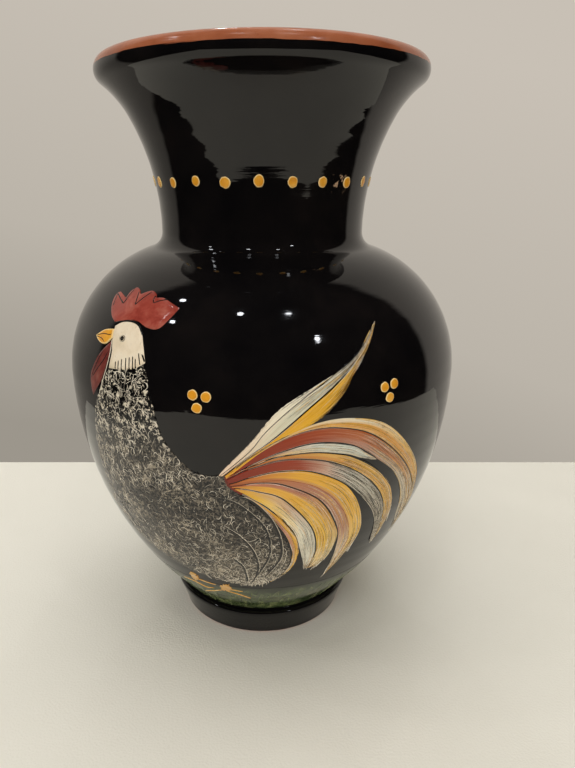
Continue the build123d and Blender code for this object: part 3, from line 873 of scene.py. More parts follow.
# ---------------------------------------------------------------- the rooster's lines
ROOT = (-13, 114)
SICKLE_TIP = (32, 181)
BAND_TIP = (52, 70.5)
SICKLE_TOP = [ROOT, (-10, 122), (-3, 136), (3.5, 150), (12, 159), (22, 167.5), (28, 176), SICKLE_TIP]
SICKLE_RIB = [ROOT, (-9, 120.5), (-3, 130), (2.5, 137.5), (10, 149), (19, 161), (26.5, 171.5), SICKLE_TIP]
SICKLE_LINE = [(-10.6, 119.5), (-6.9, 125.4), (-2.5, 133), (0.4, 140), (4.3, 147), (8.8, 153.5),
               (13.5, 159), (18.3, 164), (22.8, 168.5), (26.4, 173.2), (30.5, 179.4)]
VANE_EDGE = [ROOT, (-8.3, 120), (-3, 129.3), (4, 137.2), (12.5, 144), (18.5, 152.5), (23, 163), (28.5, 174),
             SICKLE_TIP]
FAN_TOP = [(-6, 124), (-3, 129), (4, 137.2), (12.5, 143.7), (22, 144.3), (33, 137.5), (45.5, 117),
           (52, 99.5), (54.5, 84), BAND_TIP]
LINE_1 = [ROOT, (-8, 120), (-3, 128.5), (3.5, 136.5), (10, 140.7), (18, 141), (28, 135), (40, 118),
          (51, 96.5), (54.5, 84), BAND_TIP]
LINE_2 = [ROOT, (-8, 119), (-3, 125.5), (4, 131.5), (12.5, 135), (22, 132), (30, 122.5), (38, 111),
          (44.5, 95), (48, 80), BAND_TIP]
LEAF_TOP = [ROOT, (-8.4, 120), (-4.5, 124), (-0.5, 126.9), (3.3, 129.6), (12, 130.9), (20.5, 128),
            (29.5, 118.8), (36.5, 107.6), (41, 94), (42, 84), (40.5, 70.5)]
LINE_3 = [ROOT, (-8, 119.3), (-4.5, 123), (-1.7, 125), (3.3, 127.9), (9, 128.4), (16.3, 125.8),
          (24.6, 118.4), (33, 105), (38, 90.5), (40.5, 70.5)]
LINE_4 = [ROOT, (-7, 116.8), (-3, 119.8), (4, 122.8), (12, 121.8), (20.5, 114.5), (28.5, 101.5), (35, 87),
          (38, 70)]
LINE_5 = [ROOT, (-6.5, 115.5), (-1, 117.3), (5.5, 116), (15, 106.5), (21.5, 89), (23.4, 74), (23.7, 52.5)]
LINE_6 = [ROOT, (-6, 114.3), (-1, 113), (5.5, 108.5), (13.5, 92), (16.5, 76), (15.5, 62.5)]
LINE_7 = [ROOT, (-6.5, 112.8), (-2, 108.5), (2.5, 102.5), (8.5, 90), (11.5, 76), (14, 62.5)]
DROP_EDGE = LINE_4[:6] + [(25.5, 105), (29.5, 91.5), (30.7, 80), (28, 67), (23.7, 52.5)]
INNER_EDGE = LINE_5[:6] + [(22.7, 80.5), (21.8, 70), (19, 64), (15.5, 62.5)]
GREY_TOP = LINE_2[:6] + [(27, 126.5), (30, 122.5)]
GREY_LOW = LEAF_TOP[:7] + [(25, 124.8), (30, 122.5)]
HUG_EDGE = [ROOT, (-6.4, 112.7), (-2.3, 107.6), (2.1, 99.3), (5.8, 89.5), (8.7, 78), (9.1, 68), (6.9, 59.5),
            (3, 53)]
HUG_LINE = LINE_7[:5] + [(10.6, 82), (11, 73), (9.6, 63.5), (3, 53)]
DROP_MID = [(-3.6, 117.2), (3.2, 118.7), (8.3, 117.5), (13.1, 114.5), (17.1, 109.1), (21, 101.7),
            (24.2, 93), (26.3, 83.2), (26.6, 74.5), (23.7, 52.6)]
COLLAR = [(-42.2, 159.6), (-37, 160.5), (-33, 162), (-29.8, 165)]
FRONT_EDGE = [(-42.2, 159.6), (-45.6, 149), (-48.7, 139.5), (-51, 126.5), (-52.5, 112), (-53.5, 98.5),
              (-54, 84), (-48, 71), (-38, 62), (-29, 56), (-20, 53), (-12, 51), (-1, 50.5)]
BACK_EDGE = [(-29.8, 165), (-28, 155), (-26.5, 146), (-25, 136), (-21.5, 127.5), (-18, 122), (-14.5, 119.5),
             (-9.3, 120), (-8.7, 116.5), (-6.5, 113), (-2.5, 106.8), (1.8, 98.5), (5.4, 89), (8.4, 78),
             (8.8, 68), (6.3, 58.5), (-1, 50.5)]
CROWN = [(-29.8, 165), (-31.4, 171.3), (-33.6, 177), (-37.1, 179.3), (-41, 179), (-44.1, 176.7)]
FACE = [(-44.1, 176.7), (-43.4, 172), (-42.1, 166), (-42.2, 159.6)]
COMB_EDGES = [
    [(-45, 178), (-47.9, 180.1), (-51, 184), (-52.2, 187.5), (-51, 189.2), (-48.5, 188.6), (-45.8, 187.6)],
    [(-45.8, 187.6), (-45.6, 190.3), (-44, 191.9), (-41.8, 191.3), (-40.1, 189.8)],
    [(-40.1, 189.8), (-38, 191.1), (-36, 191.6), (-34, 190.7), (-33.1, 189.4)],
    [(-33.1, 189.4), (-30.5, 189.6), (-27.5, 188.4), (-23.7, 186.6)],
    [(-23.7, 186.6), (-25.8, 182.2), (-28.3, 178.4), (-32.1, 178.3), (-37, 180.1), (-45, 178)],
]
BEAK_TOP = [(-43.9, 175.5), (-47.9, 174.3), (-51.7, 170.8)]
BEAK_LOW = [(-51.7, 170.8), (-48.5, 168.7), (-45.5, 168.9), (-43.4, 171.8)]
EYE = (-39.2, 172.6)
WATTLE_FRONT = [(-43.4, 170.6), (-45.9, 166.9), (-48.2, 162), (-50.4, 154), (-50, 148), (-49.3, 144.9)]
WATTLE_BACK = [(-49.3, 144.9), (-47, 149.3), (-44.9, 154), (-43.4, 160), (-42.9, 165.5), (-43.4, 170.6)]
CROWN_LINE = [(-44.5, 176.5), (-43.7, 178), (-40.5, 179.3), (-37.3, 179.5), (-34.9, 178.6), (-33.4, 176.7),
              (-32.7, 175.3)]
COMB_LINES = [
    [(-49.5, 183.6), (-50.2, 185.8), (-51.1, 188.3)],
    [(-51.1, 188.3), (-48, 186.8), (-45.1, 185.3)],
    [(-45.1, 185.3), (-44.7, 188.3), (-44.2, 191.3)],
    [(-41.3, 190.5), (-40.4, 188.1), (-39.7, 185.7)],
    [(-39.7, 185.7), (-38, 188.5), (-35.9, 191)],
    [(-33.7, 189.9), (-33.6, 188.4), (-33, 187.3)],
    [(-33, 187.3), (-31.2, 188.3), (-28.8, 189.1)],
]
BEAK_LINES = [
    [(-51.2, 170.8), (-48, 172.4), (-44.9, 172.8), (-44.1, 173.4)],
    [(-50.7, 170.6), (-48.1, 170.5), (-46.2, 169.3)],
]
WATTLE_LINES = [
    [(-45.7, 166.1), (-47.3, 161.5), (-48.8, 156.8), (-49.6, 153.4)],
    [(-43.3, 166.8), (-44.8, 162.3), (-47.2, 157.6), (-49.2, 153.6)],
]
FACE_LINE = [(-43.2, 171.1), (-42.7, 167.3), (-42.7, 162.7), (-43.5, 157), (-45.4, 148.4), (-46.6, 145)]
FRINGE = [
    [(-39.7, 163.2), (-39.5, 160.2)], [(-38.7, 163.8), (-38.4, 160.3)], [(-37.6, 164.8), (-37.2, 160.2)],
    [(-36.2, 165.6), (-35.7, 160.8)], [(-35.1, 166.2), (-34.4, 160.7)], [(-34, 166.7), (-33.3, 161.4)],
    [(-33, 166), (-32.5, 162.3)], [(-32.3, 168.3), (-31.2, 163.9)], [(-31.2, 168.2), (-30, 165.4)],
]
ROOT_CAP = [(-9, 120), (-8.9, 118.2), (-8.3, 115.8), (-7.3, 113.9), (-6.1, 112.8), (-4.8, 111.5)]
LEAF_LINE = [(25, 124.2), (26.9, 122.4), (29.3, 119.2), (32.1, 114.9), (35.4, 108.8), (37, 105.5)]
THIGH_LINES = [
    [(-12.3, 109.6), (-7.3, 107.5), (-3.1, 101.7), (0.5, 93.7), (2.2, 83.1), (1.5, 71.2), (-4, 51.7)],
    [(-8.6, 111), (-3.7, 109.3), (0.5, 102.6), (3.5, 93.6), (5.4, 82.8), (5.4, 72), (1.2, 58.6)],
    [(-10.5, 93.4), (-6.1, 87.3), (-2.7, 78.3), (-1.2, 67), (-2.3, 57.3)],
    [(-9, 72.4), (-6.2, 66.4), (-5.3, 57), (-5.5, 53)],
]

# Feathers: name, slot, first line, second line, ragged edges, finish
FEATHERS = [
    ("sickle_white", "white_feather_slip", SICKLE_TOP, SICKLE_RIB, (0.35, 0.0), dict(
        outer=[(0.1, 246, 215, 184), (0.45, 246, 235, 206), (0.68, 235, 228, 204), (0.85, 120, 112, 88),
               (1.0, 60, 52, 38)],
        inner=[(0.1, 242, 206, 173), (0.4, 226, 220, 189), (0.62, 215, 215, 189), (0.8, 130, 120, 84),
               (1.0, 84, 66, 40)],
        split=0.5, dry=(0.6, 1.0))),
    ("sickle_yellow", "yellow_feather_slip", SICKLE_RIB, VANE_EDGE, (0.0, 0.4), dict(
        outer=[(0.1, 234, 165, 50), (0.4, 238, 175, 36), (0.7, 226, 173, 50), (1.0, 110, 86, 46)],
        inner=[(0.1, 238, 175, 50), (0.5, 238, 179, 34), (0.75, 190, 140, 44), (1.0, 90, 70, 40)],
        dry=(0.72, 1.0), dry_edge=(0.55, 1.0))),
    ("tail_rim", "yellow_feather_slip", FAN_TOP, LINE_1, (0.15, 0.0), dict(
        outer=[(0.08, 234, 175, 50), (0.2, 246, 209, 143), (0.35, 246, 233, 202), (0.6, 238, 191, 96),
               (0.85, 234, 191, 92), (1.0, 220, 193, 143)],
        inner=[(0.08, 234, 165, 50), (0.3, 228, 167, 70), (0.55, 226, 161, 66), (0.85, 228, 175, 84),
               (1.0, 176, 160, 130)],
        split=0.42, soft=0.2, dry=(0.86, 1.05))),
    ("tail_band", "russet_feather_slip", LINE_1, LINE_2, (0.0, 0.0), dict(
        outer=[(0.05, 128, 34, 12), (0.28, 156, 58, 22), (0.44, 180, 96, 46), (0.62, 200, 130, 74),
               (0.8, 235, 193, 132), (1.0, 209, 187, 154)],
        inner=[(0.05, 126, 36, 14), (0.3, 154, 60, 26), (0.42, 176, 112, 84), (0.55, 188, 148, 126),
               (0.75, 233, 217, 189), (1.0, 198, 189, 169)],
        split=0.62, soft=0.22, dry=(0.84, 1.05))),
    ("tail_grey", "grey_feather_slip", GREY_TOP, GREY_LOW, (0.0, 0.0), dict(
        outer=[(0.05, 128, 38, 14), (0.34, 156, 64, 28), (0.48, 209, 176, 143), (0.62, 224, 226, 209),
               (1.0, 209, 213, 198)],
        inner=[(0.05, 150, 74, 34), (0.3, 220, 155, 66), (0.5, 235, 202, 143), (0.65, 226, 226, 206),
               (1.0, 170, 172, 156)],
        split=0.5, dry=(0.78, 1.1))),
    ("tail_leaf", "orange_feather_slip", LEAF_TOP, LINE_3, (0.0, 0.0), dict(
        outer=[(0.05, 130, 46, 24), (0.16, 190, 108, 48), (0.4, 226, 171, 84), (0.6, 228, 179, 82),
               (0.8, 242, 198, 121), (1.0, 226, 209, 176)],
        inner=[(0.05, 130, 46, 24), (0.2, 190, 110, 56), (0.45, 220, 155, 72), (0.65, 232, 173, 62),
               (0.85, 226, 181, 96), (1.0, 209, 189, 154)],
        dry=(0.74, 1.05))),
    ("tail_brushed", "grey_feather_slip", LINE_3, LINE_4, (0.0, 0.0), dict(
        outer=[(0.05, 126, 34, 12), (0.32, 156, 56, 22), (0.4, 186, 138, 112), (0.52, 224, 220, 202),
               (0.75, 206, 204, 187), (1.0, 226, 220, 200)],
        inner=[(0.05, 126, 34, 12), (0.34, 154, 60, 26), (0.42, 206, 165, 140), (0.55, 215, 209, 191),
               (0.8, 170, 166, 150), (1.0, 220, 213, 193)],
        dry=(0.42, 0.95))),
    ("tail_drop", "orange_feather_slip", DROP_EDGE, LINE_5, (0.12, 0.0), dict(
        outer=[(0.05, 150, 62, 28), (0.14, 196, 112, 50), (0.3, 234, 173, 56), (0.6, 238, 183, 60),
               (0.8, 246, 209, 123), (1.0, 246, 233, 198)],
        inner=[(0.05, 140, 56, 30), (0.2, 190, 118, 66), (0.4, 182, 124, 98), (0.65, 180, 128, 100),
               (0.8, 226, 198, 165), (1.0, 242, 226, 193)],
        split=0.56, soft=0.16, dry=(0.84, 1.02))),
    ("tail_inner", "orange_feather_slip", INNER_EDGE, LINE_6, (0.1, 0.0), dict(
        outer=[(0.05, 160, 72, 34), (0.16, 190, 116, 84), (0.4, 184, 124, 96), (0.6, 218, 167, 76),
               (0.85, 235, 209, 143), (1.0, 237, 226, 193)],
        inner=[(0.05, 190, 108, 50), (0.25, 234, 173, 66), (0.55, 236, 183, 62), (0.8, 238, 193, 80),
               (1.0, 244, 224, 176)],
        split=0.38, soft=0.16, dry=(0.88, 1.05))),
    ("tail_pale", "white_feather_slip", LINE_6, LINE_7, (0.0, 0.12), dict(
        outer=[(0.05, 196, 116, 60), (0.2, 228, 173, 72), (0.45, 215, 184, 154), (0.65, 226, 220, 198),
               (1.0, 220, 217, 198)],
        inner=[(0.05, 222, 145, 50), (0.25, 236, 185, 60), (0.45, 246, 215, 140), (0.6, 244, 237, 211),
               (1.0, 226, 224, 204)],
        split=0.5, soft=0.3, dry=(0.88, 1.05))),
    ("tail_hugging", "yellow_feather_slip", HUG_LINE, HUG_EDGE, (0.0, 0.1), dict(
        outer=[(0.05, 176, 92, 44), (0.2, 234, 171, 56), (0.5, 236, 179, 54), (0.8, 236, 183, 66),
               (1.0, 244, 209, 143)],
        inner=[(0.05, 170, 96, 60), (0.3, 190, 130, 104), (0.6, 198, 140, 110), (0.85, 234, 185, 90),
               (1.0, 244, 209, 143)],
        split=0.5, soft=0.14, dry=(0.96, 1.1))),
]
for name, slot, first, second, ragged, look in FEATHERS:
    kind = "vane" if name.startswith("sickle") else "feather"
    dress(sheet(name, first, second, ragged), feather(name, **look), slot, f"{name}_{kind}")


# ---------------------------------------------------------------- plumage, head and feet
def collar_bulge(place, u, v):
    """Top of the plumage, which follows the curved collar."""
    share = (1 - fade(u, 0.0, 0.18))
    k = min(int(v * (len(COLLAR_RAIL) - 1)), len(COLLAR_RAIL) - 2)
    t = v * (len(COLLAR_RAIL) - 1) - k
    curve = blend_place(COLLAR_RAIL[k], COLLAR_RAIL[k + 1], t)
    chord = blend_place(COLLAR[0], COLLAR[-1], v)
    return [p + (c - d) * share for p, c, d in zip(place, curve, chord)]


COLLAR_RAIL = rail(COLLAR, 30)
plumage = sheet("plumage", FRONT_EDGE, BACK_EDGE, (0.9, 0.9), PLUMAGE_LIFT, 0.0, (190, 60), collar_bulge)
dress(plumage, plumage_finish(), "speckled_slip", "rooster_plumage")


CREAM = [(0.3, 222, 204, 172), (0.5, 236, 218, 188), (0.7, 242, 228, 202)]
OCHRE = [(0.3, 216, 142, 34), (0.5, 230, 160, 44), (0.7, 238, 182, 84)]
COMB_RED = [(0.3, 134, 50, 40), (0.5, 158, 70, 56), (0.72, 180, 104, 86)]
WATTLE_RED = [(0.3, 92, 38, 34), (0.5, 114, 54, 47), (0.72, 138, 78, 66)]
FOOT_GOLD = [(0.3, 212, 146, 66), (0.5, 228, 176, 100), (0.7, 240, 210, 160)]


def paint_patch(name, node, border, centre, lift, finish, slot):
    shape = Shape()
    add_patch(shape, border, centre, lift)
    return dress(shape.build(name), finish, slot, node)


head_border = rail(COLLAR, 16)[:-1] + rail(CROWN, 20)[:-1] + rail(FACE, 16)[:-1]
cream = plain_slip("cream_slip_finish", CREAM, spots=0.3)
paint_patch("head", "rooster_head", head_border, (-37.5, 169), HEAD_LIFT, cream, "cream_slip")

comb_border = []
for edge in COMB_EDGES:
    comb_border += rail(edge, 5 * len(edge))[:-1]
red = plain_slip("comb_red_finish", COMB_RED, spots=0.3)
paint_patch("comb", "rooster_comb", comb_border, (-38.5, 184.6), HEAD_LIFT, red, "comb_red_slip")

wattle_border = rail(WATTLE_FRONT, 22)[:-1] + rail(WATTLE_BACK, 24)[:-1]
dark_red = plain_slip("wattle_red_finish", WATTLE_RED, spots=0.3)
paint_patch("wattle", "rooster_wattle", wattle_border, (-46.3, 158), BEAK_LIFT, dark_red, "wattle_red_slip")

beak_border = rail(BEAK_TOP, 14)[:-1] + rail(BEAK_LOW, 14)[:-1] + rail([BEAK_LOW[-1], BEAK_TOP[0]], 5)[:-1]
ochre = plain_slip("ochre_slip_finish", OCHRE, rim=(252, 224, 158))
paint_patch("beak", "rooster_beak", beak_border, (-46.6, 171.7), BEAK_LIFT, ochre, "ochre_slip")


def round_border(centre, radius, squash, waver, seed=0.0):
    """Places round a hand-painted dot."""
    angle, height = centre
    girth = section(height)[0] * math.radians(1)
    found = []
    for k in range(DOT_STEPS):
        turn = 2 * math.pi * k / DOT_STEPS
        reach = radius * (1 + waver * noise.noise(Vector((math.cos(turn), math.sin(turn), seed)) * 1.5))
        found.append((angle + reach * squash * math.cos(turn) / girth, height + reach * math.sin(turn)))
    return found


eye = Shape()
add_patch(eye, round_border(EYE, 1.4, 1.45, 0.1), EYE, EYE_LIFT, rings=(0.2, 0.4, 0.55, 0.7, 0.85, 1.0))


def eye_finish():
    """Black eye with a painted glint in its grey-brown middle and a thin pale ring."""
    f = Finish("eye_black_finish")
    _, u, _ = f.uv()
    grit = f.noise(f.place(), 700, 2.0, 0.6)
    wide = f.math("ADD", u, f.math("MULTIPLY", f.math("SUBTRACT", grit, 0.5), 0.3))
    # Painted highlight: the grey-brown stop at the middle is a glint painted into the black pupil.
    pupil_with_painted_glint = [(0.1, 96, 86, 76), (0.26, 12, 10, 10), (0.58, 14, 12, 11)]
    ring = [(0.66, 206, 190, 162), (0.76, 206, 190, 162), (0.84, 12, 10, 10)]
    tone = f.ramp(wide, pupil_with_painted_glint + ring)
    return f.done(tone, f.step(grit, 0.3, 0.7, 0.1, 0.2))


eye_black = eye_finish()
dress(eye.build("eye"), eye_black, "eye_black_slip", "rooster_eye")

# Dots round the neck and the two trios
NECK_DOT_COUNT = 23
NECK_DOT_HEIGHT = 236.0
NECK_DOT_FIRST = -1.6        # angle of the first dot
neck_dots = Shape()
for k in range(NECK_DOT_COUNT):
    angle = NECK_DOT_FIRST + WHOLE_TURN * k / NECK_DOT_COUNT + rng.uniform(-0.3, 0.3)
    centre = (angle, NECK_DOT_HEIGHT + rng.uniform(-0.4, 0.4))
    border = round_border(centre, rng.uniform(2.25, 2.6), rng.uniform(0.9, 1.05), 0.12, seed=k)
    add_patch(neck_dots, border, centre, DOT_LIFT, rings=DOT_RINGS, round_edge=0.9)
dress(neck_dots.build("neck_dots_paint"), ochre, "ochre_slip", "neck_dots")
TRIOS = {
    "left": [(-16.3, 155), (-13, 154.6), (-15.2, 149.8)],
    "right": [(30.9, 155), (34, 155.6), (32.5, 150.2)],
}
for side, places in TRIOS.items():
    trio = Shape()
    for k, centre in enumerate(places):
        border = round_border(centre, 2.2, 1.0, 0.1, seed=50 + k)
        add_patch(trio, border, centre, DOT_LIFT, rings=DOT_RINGS, round_edge=0.9)
    dress(trio.build(f"{side}_trio"), ochre, "ochre_slip", f"{side}_dot_trio")


def beside(places, shift):
    return [(a + shift, z) for a, z in places]


FEET = {
    "left": (
        [(-31.2, 45.5), (-29, 54), (-25, 52), (-25.8, 45.5), (-30, 41.5)],
        [[(-37, 41.2), (-31, 41.5), (-26, 38.5), (-22, 40)], [(-27, 46.5), (-23, 45.5), (-19.6, 45)]],
    ),
    "right": (
        [(-18.5, 45.5), (-14, 49.5), (-11.5, 46), (-13, 39.5), (-19, 38)],
        [[(-16, 40), (-10, 37), (-5.8, 33.5)], [(-14, 42.5), (-8.6, 41.5)],
         [(-17, 40.5), (-23, 36), (-30, 31)]],
    ),
}
for side, (pad, toes) in FEET.items():
    foot = Shape()
    centre = [sum(c) / len(pad) for c in zip(*pad)]
    border = []
    for k, place in enumerate(rail(pad + pad[:1], 49)[:-1]):
        worn = 0.62 + 0.5 * noise.noise(Vector((k * 0.8, len(side), 0)))
        border.append(blend_place(centre, place, worn))
    add_patch(foot, border, centre, 0.4)
    for toe in toes:
        add_ribbon(foot, toe, 0.6, 0.0, 0.36, 0.0, 24, 0.4)
        add_ribbon(foot, beside(toe, 0.45), 0.4, 0.0, 0.3, 0.0, 24, 0.4)
    gold = plain_slip(f"{side}_foot_finish", FOOT_GOLD, spots=0.5)
    dress(foot.build(f"{side}_foot"), gold, "ochre_slip", f"rooster_{side}_foot")

# ---------------------------------------------------------------- scored and brushed lines
INK = [(0.0, 8, 7, 7), (1.0, 26, 22, 20)]
BONE = [(0.0, 160, 150, 132), (0.5, 222, 210, 188), (1.0, 248, 238, 216)]
ink = stroke_finish("scored_line_finish", INK)
bone = stroke_finish("cream_stroke_finish", BONE)


def lines(name, runs, width, low, high, finish, slot):
    shape = Shape()
    for places in runs:
        add_ribbon(shape, places, width, low, high, rng.random(), 14 * len(places), 0.12)
    return dress(shape.build(name), finish, slot)


def streaks(name, runs, widths, low, high, finish, slot, count=9):
    """Many short brush or scratch marks, each of its own width and tint."""
    shape = Shape()
    for places in runs:
        add_ribbon(shape, places, rng.uniform(*widths), low, high, rng.random(), count, 0.5)
    return dress(shape.build(name), finish, slot)


def spot_on(first, second, u, v):
    """Place between two rails, u along them and v across."""
    k = u * (len(first) - 1)
    low = min(int(k), len(first) - 2)
    t = k - low
    ends = [blend_place(line[low], line[low + 1], t) for line in (first, second)]
    return blend_place(*ends, v)


def bristles(first, second, number, span):
    """Marks that follow the flow of a feather between its two lines."""
    runs = []
    for _ in range(number):
        u = rng.uniform(*span)
        v = rng.uniform(0.06, 0.94)
        reach = rng.uniform(0.05, 0.2)
        drift = rng.uniform(-0.05, 0.05)
        shares = [k / 3 for k in range(4)]
        runs.append([spot_on(first, second, min(u + reach * t, 0.995), v + drift * t) for t in shares])
    return runs


def scratches(number, tall, length, bend):
    """C-shaped marks spread over the part of the plumage between two shares of its height."""
    runs = []
    while len(runs) < number:
        place = spot_on(BREAST_RAIL, SADDLE_RAIL, rng.uniform(*tall), rng.uniform(0.03, 0.97))
        girth = section(place[1])[0] * math.radians(1)
        half = rng.uniform(*length) / 2
        turn = rng.gauss(math.pi / 2, 0.9)
        sag = rng.uniform(-bend, bend) * half * 2
        run = []
        for t in (-1.0, -0.4, 0.4, 1.0):
            along, aside = t * half, sag * (1 - t * t)
            x = along * math.cos(turn) - aside * math.sin(turn)
            y = along * math.sin(turn) + aside * math.cos(turn)
            run.append((place[0] + x / girth, place[1] + y))
        runs.append(run)
    return runs


GOLD = [(0.0, 190, 120, 46), (0.5, 236, 180, 60), (1.0, 242, 212, 140)]
MOSS = [(0.0, 34, 46, 30), (0.4, 70, 92, 52), (0.8, 128, 138, 88), (1.0, 190, 186, 150)]
RUSSET = [(0.0, 116, 34, 12), (1.0, 158, 60, 24)]
gold = stroke_finish("gold_stroke_finish", GOLD)
moss = stroke_finish("grass_stroke_finish", MOSS)
russet = stroke_finish("russet_stroke_finish", RUSSET)

# Marks on each feather: span along it, cream, gold and black counts, frayed bristles at its tip
MARKS = {
    "sickle_white": ((0.42, 0.97), 80, 26, 84, 0),
    "sickle_yellow": ((0.55, 0.97), 16, 34, 34, 10),
    "tail_rim": ((0.25, 0.97), 50, 60, 14, 16),
    "tail_band": ((0.45, 0.97), 120, 30, 80, 22),
    "tail_grey": ((0.45, 0.95), 50, 10, 8, 0),
    "tail_leaf": ((0.4, 0.97), 60, 50, 40, 20),
    "tail_brushed": ((0.42, 0.97), 210, 0, 190, 34),
    "tail_drop": ((0.35, 0.97), 80, 70, 44, 26),
    "tail_inner": ((0.35, 0.97), 50, 40, 34, 18),
    "tail_pale": ((0.35, 0.97), 70, 24, 40, 22),
    "tail_hugging": ((0.25, 0.97), 24, 30, 20, 8),
}
RAIL_PLACES = 90
RAILS = {row[0]: (rail(row[2], RAIL_PLACES), rail(row[3], RAIL_PLACES)) for row in FEATHERS}
cream_marks, gold_marks, black_marks, hairlines = [], [], [], []
for name, (one, other) in RAILS.items():
    span, pale, yellow, dark, _ = MARKS[name]
    cream_marks += bristles(one, other, pale, span)
    gold_marks += bristles(one, other, yellow, span)
    black_marks += bristles(one, other, dark, span)
    for v in (0.07, 0.93):
        hairlines.append([spot_on(one, other, u / 20, v) for u in range(3, 10)])
streaks("feather_cream_marks", cream_marks, (0.16, 0.42), 0.18, 0.3, bone, "cream_slip")
streaks("feather_gold_marks", gold_marks, (0.2, 0.5), 0.18, 0.3, gold, "yellow_feather_slip")
streaks("feather_black_marks", black_marks, (0.14, 0.38), 0.19, 0.3, ink, "black_glaze")
tips = []
for name, (one, other) in RAILS.items():
    for _ in range(MARKS[name][-1]):
        u, v = rng.uniform(0.72, 0.93), rng.uniform(0.05, 0.95)
        start, ahead = spot_on(one, other, u, v), spot_on(one, other, u + 0.03, v)
        step = [b - a for a, b in zip(start, ahead)]
        reach = rng.uniform(1.0, 2.6)
        tips.append([start, ahead, [a + reach * d for a, d in zip(ahead, step)]])
streaks("feather_tips", tips, (0.25, 0.6), 0.12, 0.3, bone, "cream_slip")
streaks("feather_hairlines", hairlines, (0.16, 0.24), 0.19, 0.3, bone, "cream_slip", 24)

BREAST_RAIL = rail(FRONT_EDGE, RAIL_PLACES)
SADDLE_RAIL = rail(BACK_EDGE, RAIL_PLACES)
bold = scratches(400, (0.02, 0.4), (2.0, 4.6), 0.55)
calm = scratches(700, (0.3, 0.97), (1.8, 4.6), 0.45) + scratches(640, (0.55, 0.98), (1.5, 4.0), 0.3)
streaks("plumage_bold_marks", bold, (0.3, 0.62), 0.26, 0.4, bone, "cream_slip", 8)
streaks("plumage_calm_marks", calm, (0.2, 0.5), 0.26, 0.38, bone, "cream_slip", 8)
dark = scratches(640, (0.02, 0.97), (2.0, 6.0), 0.3)
streaks("plumage_black_marks", dark, (0.3, 0.8), 0.27, 0.4, ink, "black_glaze", 8)
fringe = []
for _ in range(64):
    place = spot_on(BREAST_RAIL, SADDLE_RAIL, rng.uniform(0.8, 0.985), rng.uniform(0.1, 0.9))
    fringe.append([place, (place[0] + rng.uniform(-1.5, 0.5), place[1] - rng.uniform(1.5, 4.5))])
streaks("plumage_fringe", fringe, (0.25, 0.6), 0.24, 0.38, bone, "cream_slip", 8)

# Drawn lines: name, runs, width, lower and upper lift, finish, slot
DRAWN = [
    ("thigh_lines", THIGH_LINES, 1.0, 0.3, 0.46, ink, "black_glaze"),
    ("thigh_edges", [beside(run, 0.55) for run in THIGH_LINES], 0.35, 0.29, 0.42, bone, "cream_slip"),
    ("drop_stripe", [DROP_MID], 0.45, 0.18, 0.3, russet, "russet_feather_slip"),
    ("sickle_line", [SICKLE_LINE], 0.55, 0.2, 0.32, ink, "black_glaze"),
    ("crown_line", [CROWN_LINE], 0.8, 0.3, 0.46, ink, "black_glaze"),
    ("comb_lines", COMB_LINES, 0.85, 0.3, 0.44, ink, "black_glaze"),
    ("fringe_lines", FRINGE, 0.95, 0.3, 0.44, ink, "black_glaze"),
    ("beak_lines", BEAK_LINES, 0.65, 0.28, 0.42, ink, "black_glaze"),
    ("wattle_lines", WATTLE_LINES, 0.7, 0.28, 0.42, ink, "black_glaze"),
    ("face_line", [FACE_LINE], 0.5, 0.28, 0.44, bone, "cream_slip"),
    ("root_cap", [ROOT_CAP], 1.7, 0.2, 0.36, russet, "russet_feather_slip"),
    ("leaf_line", [LEAF_TOP[1:7], LEAF_LINE], 0.5, 0.18, 0.32, ink, "black_glaze"),
]
for row in DRAWN:
    lines(*row)

GRASS_BLADES = 560
blades = []
for _ in range(GRASS_BLADES):
    angle = rng.uniform(-180, 180)
    low = rng.uniform(18, 37)
    lean = rng.uniform(-2.4, 2.4)
    tall = rng.uniform(4.0, 9.0)
    top = min(low + tall, GRASS_HIGH - 1)
    blades.append([(angle, low), (angle + lean * 0.4, low + tall * 0.55), (angle + lean, top)])
streaks("grass_blades", blades, (0.25, 0.6), 0.0, 0.12, moss, "grass_green_slip", 8)

# ---------------------------------------------------------------- light, floor and camera
scene = bpy.context.scene
scene.view_settings.view_transform = "Standard"


def cloth():
    f = Finish("floor_cloth")
    place = f.place()
    cloud = f.noise(place, 3.0, 3.0, 0.5)
    weave = f.noise(place, 900, 2.0, 0.5)
    tone = f.ramp(cloud, [(0.3, 224, 219, 204), (0.7, 231, 226, 211)])
    folds = f.noise(place, 9, 2.0, 0.5)
    return f.done(tone, 0.9, f.bump(weave, 0.0002, under=f.bump(folds, 0.004)))


floor_mesh = bpy.data.meshes.new("floor")
LEFT, RIGHT, NEAR, FAR = -0.40, 0.55, -0.50, 0.173
corners = [(LEFT, NEAR, 0), (RIGHT, NEAR, 0), (RIGHT, FAR, 0), (LEFT, FAR, 0)]
floor_mesh.from_pydata(corners, [], [(0, 1, 2, 3)])
floor = bpy.data.objects.new("floor", floor_mesh)
scene.collection.objects.link(floor)
floor_mesh.materials.append(cloth())

TARGET = Vector((0, 0, 0.17))
LAMP_TONE = (247, 250, 255)
SPOT_WAYS = [(-0.17, -0.381, 0.908), (0.21, -0.371, 0.904), (0.465, -0.595, 0.657), (-0.55, 0.0, 0.84),
             (-0.67, -0.215, 0.71), (-0.1, 0.73, 0.67), (0.15, 0.29, 0.94)]


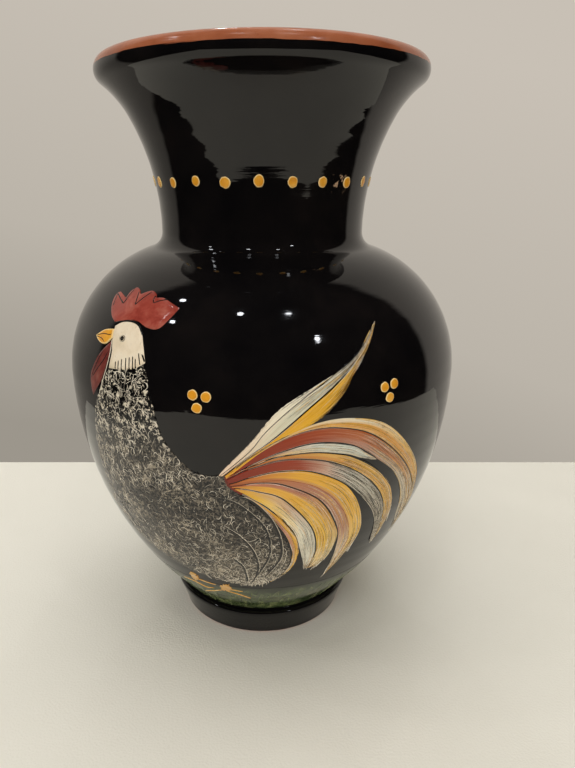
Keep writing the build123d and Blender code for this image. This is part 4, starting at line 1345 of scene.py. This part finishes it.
def area_light(name, way, distance, size, power, glossy=True):
    """Round lamp that points at the vase, and may be left out of reflections."""
    data = bpy.data.lights.new(name, "AREA")
    data.shape = "DISK"
    data.size = size
    data.energy = power
    data.color = colour(*LAMP_TONE)[:3]
    light = bpy.data.objects.new(name, data)
    light.location = TARGET + Vector(way).normalized() * distance
    light.rotation_euler = (TARGET - light.location).to_track_quat("-Z", "Y").to_euler()
    light.visible_glossy = glossy
    scene.collection.objects.link(light)


for k, way in enumerate(SPOT_WAYS):
    area_light(f"spot_{k}", way, distance=2.6, size=0.13, power=1.6)
area_light("overhead", (-0.05, 0.15, 1.0), distance=2.4, size=2.6, power=36, glossy=False)
area_light("front_fill", (-0.3, -1.0, 0.6), distance=2.4, size=1.8, power=25, glossy=False)


def world_light():
    """Grey wall all round, with painted shade that darkens it low down and towards -X; reflections see black
    behind the camera, and diffuse light is weaker.
    """
    world = bpy.data.worlds.new("studio")
    world.use_nodes = True
    scene.world = world
    n = Nodes(world.node_tree)
    background = n.tree.nodes["Background"]
    x, y, z = n.parts(n.node("TexCoord").outputs["Generated"])
    # Painted shade on the wall: darker towards the horizon and on the -X side, lighter high up.
    level = n.step(n.math("ADD", n.math("MULTIPLY", x, 0.3), z), -0.45, 0.25, kind="LINEAR")
    wall = n.ramp(level, [(0.0, 156, 150, 140), (0.42, 187, 180, 169), (1.0, 200, 192, 181)])
    room = n.mix(n.step(y, 0.24, 0.34), (0.004, 0.004, 0.004, 1), wall)
    rays = n.node("LightPath")
    n.feed(background.inputs[0], n.mix(rays.outputs["Is Glossy Ray"], wall, room))
    n.feed(background.inputs[1], n.step(rays.outputs["Is Diffuse Ray"], 0.0, 1.0, 1.0, 0.62, kind="LINEAR"))


world_light()

LENS = 29.3                  # mm on a frame 36 mm wide
LENS_SHIFT = 0.0332
CAMERA_PLACE = (0, -0.3314, 0.2362)
CAMERA_TILT = 72.04          # degrees up from straight down
camera_data = bpy.data.cameras.new("camera")
camera_data.lens = LENS
camera_data.sensor_width = 36
camera_data.shift_x = LENS_SHIFT
camera = bpy.data.objects.new("camera", camera_data)
camera.location = CAMERA_PLACE
camera.rotation_euler = (math.radians(CAMERA_TILT), 0, 0)
scene.collection.objects.link(camera)
scene.camera = camera
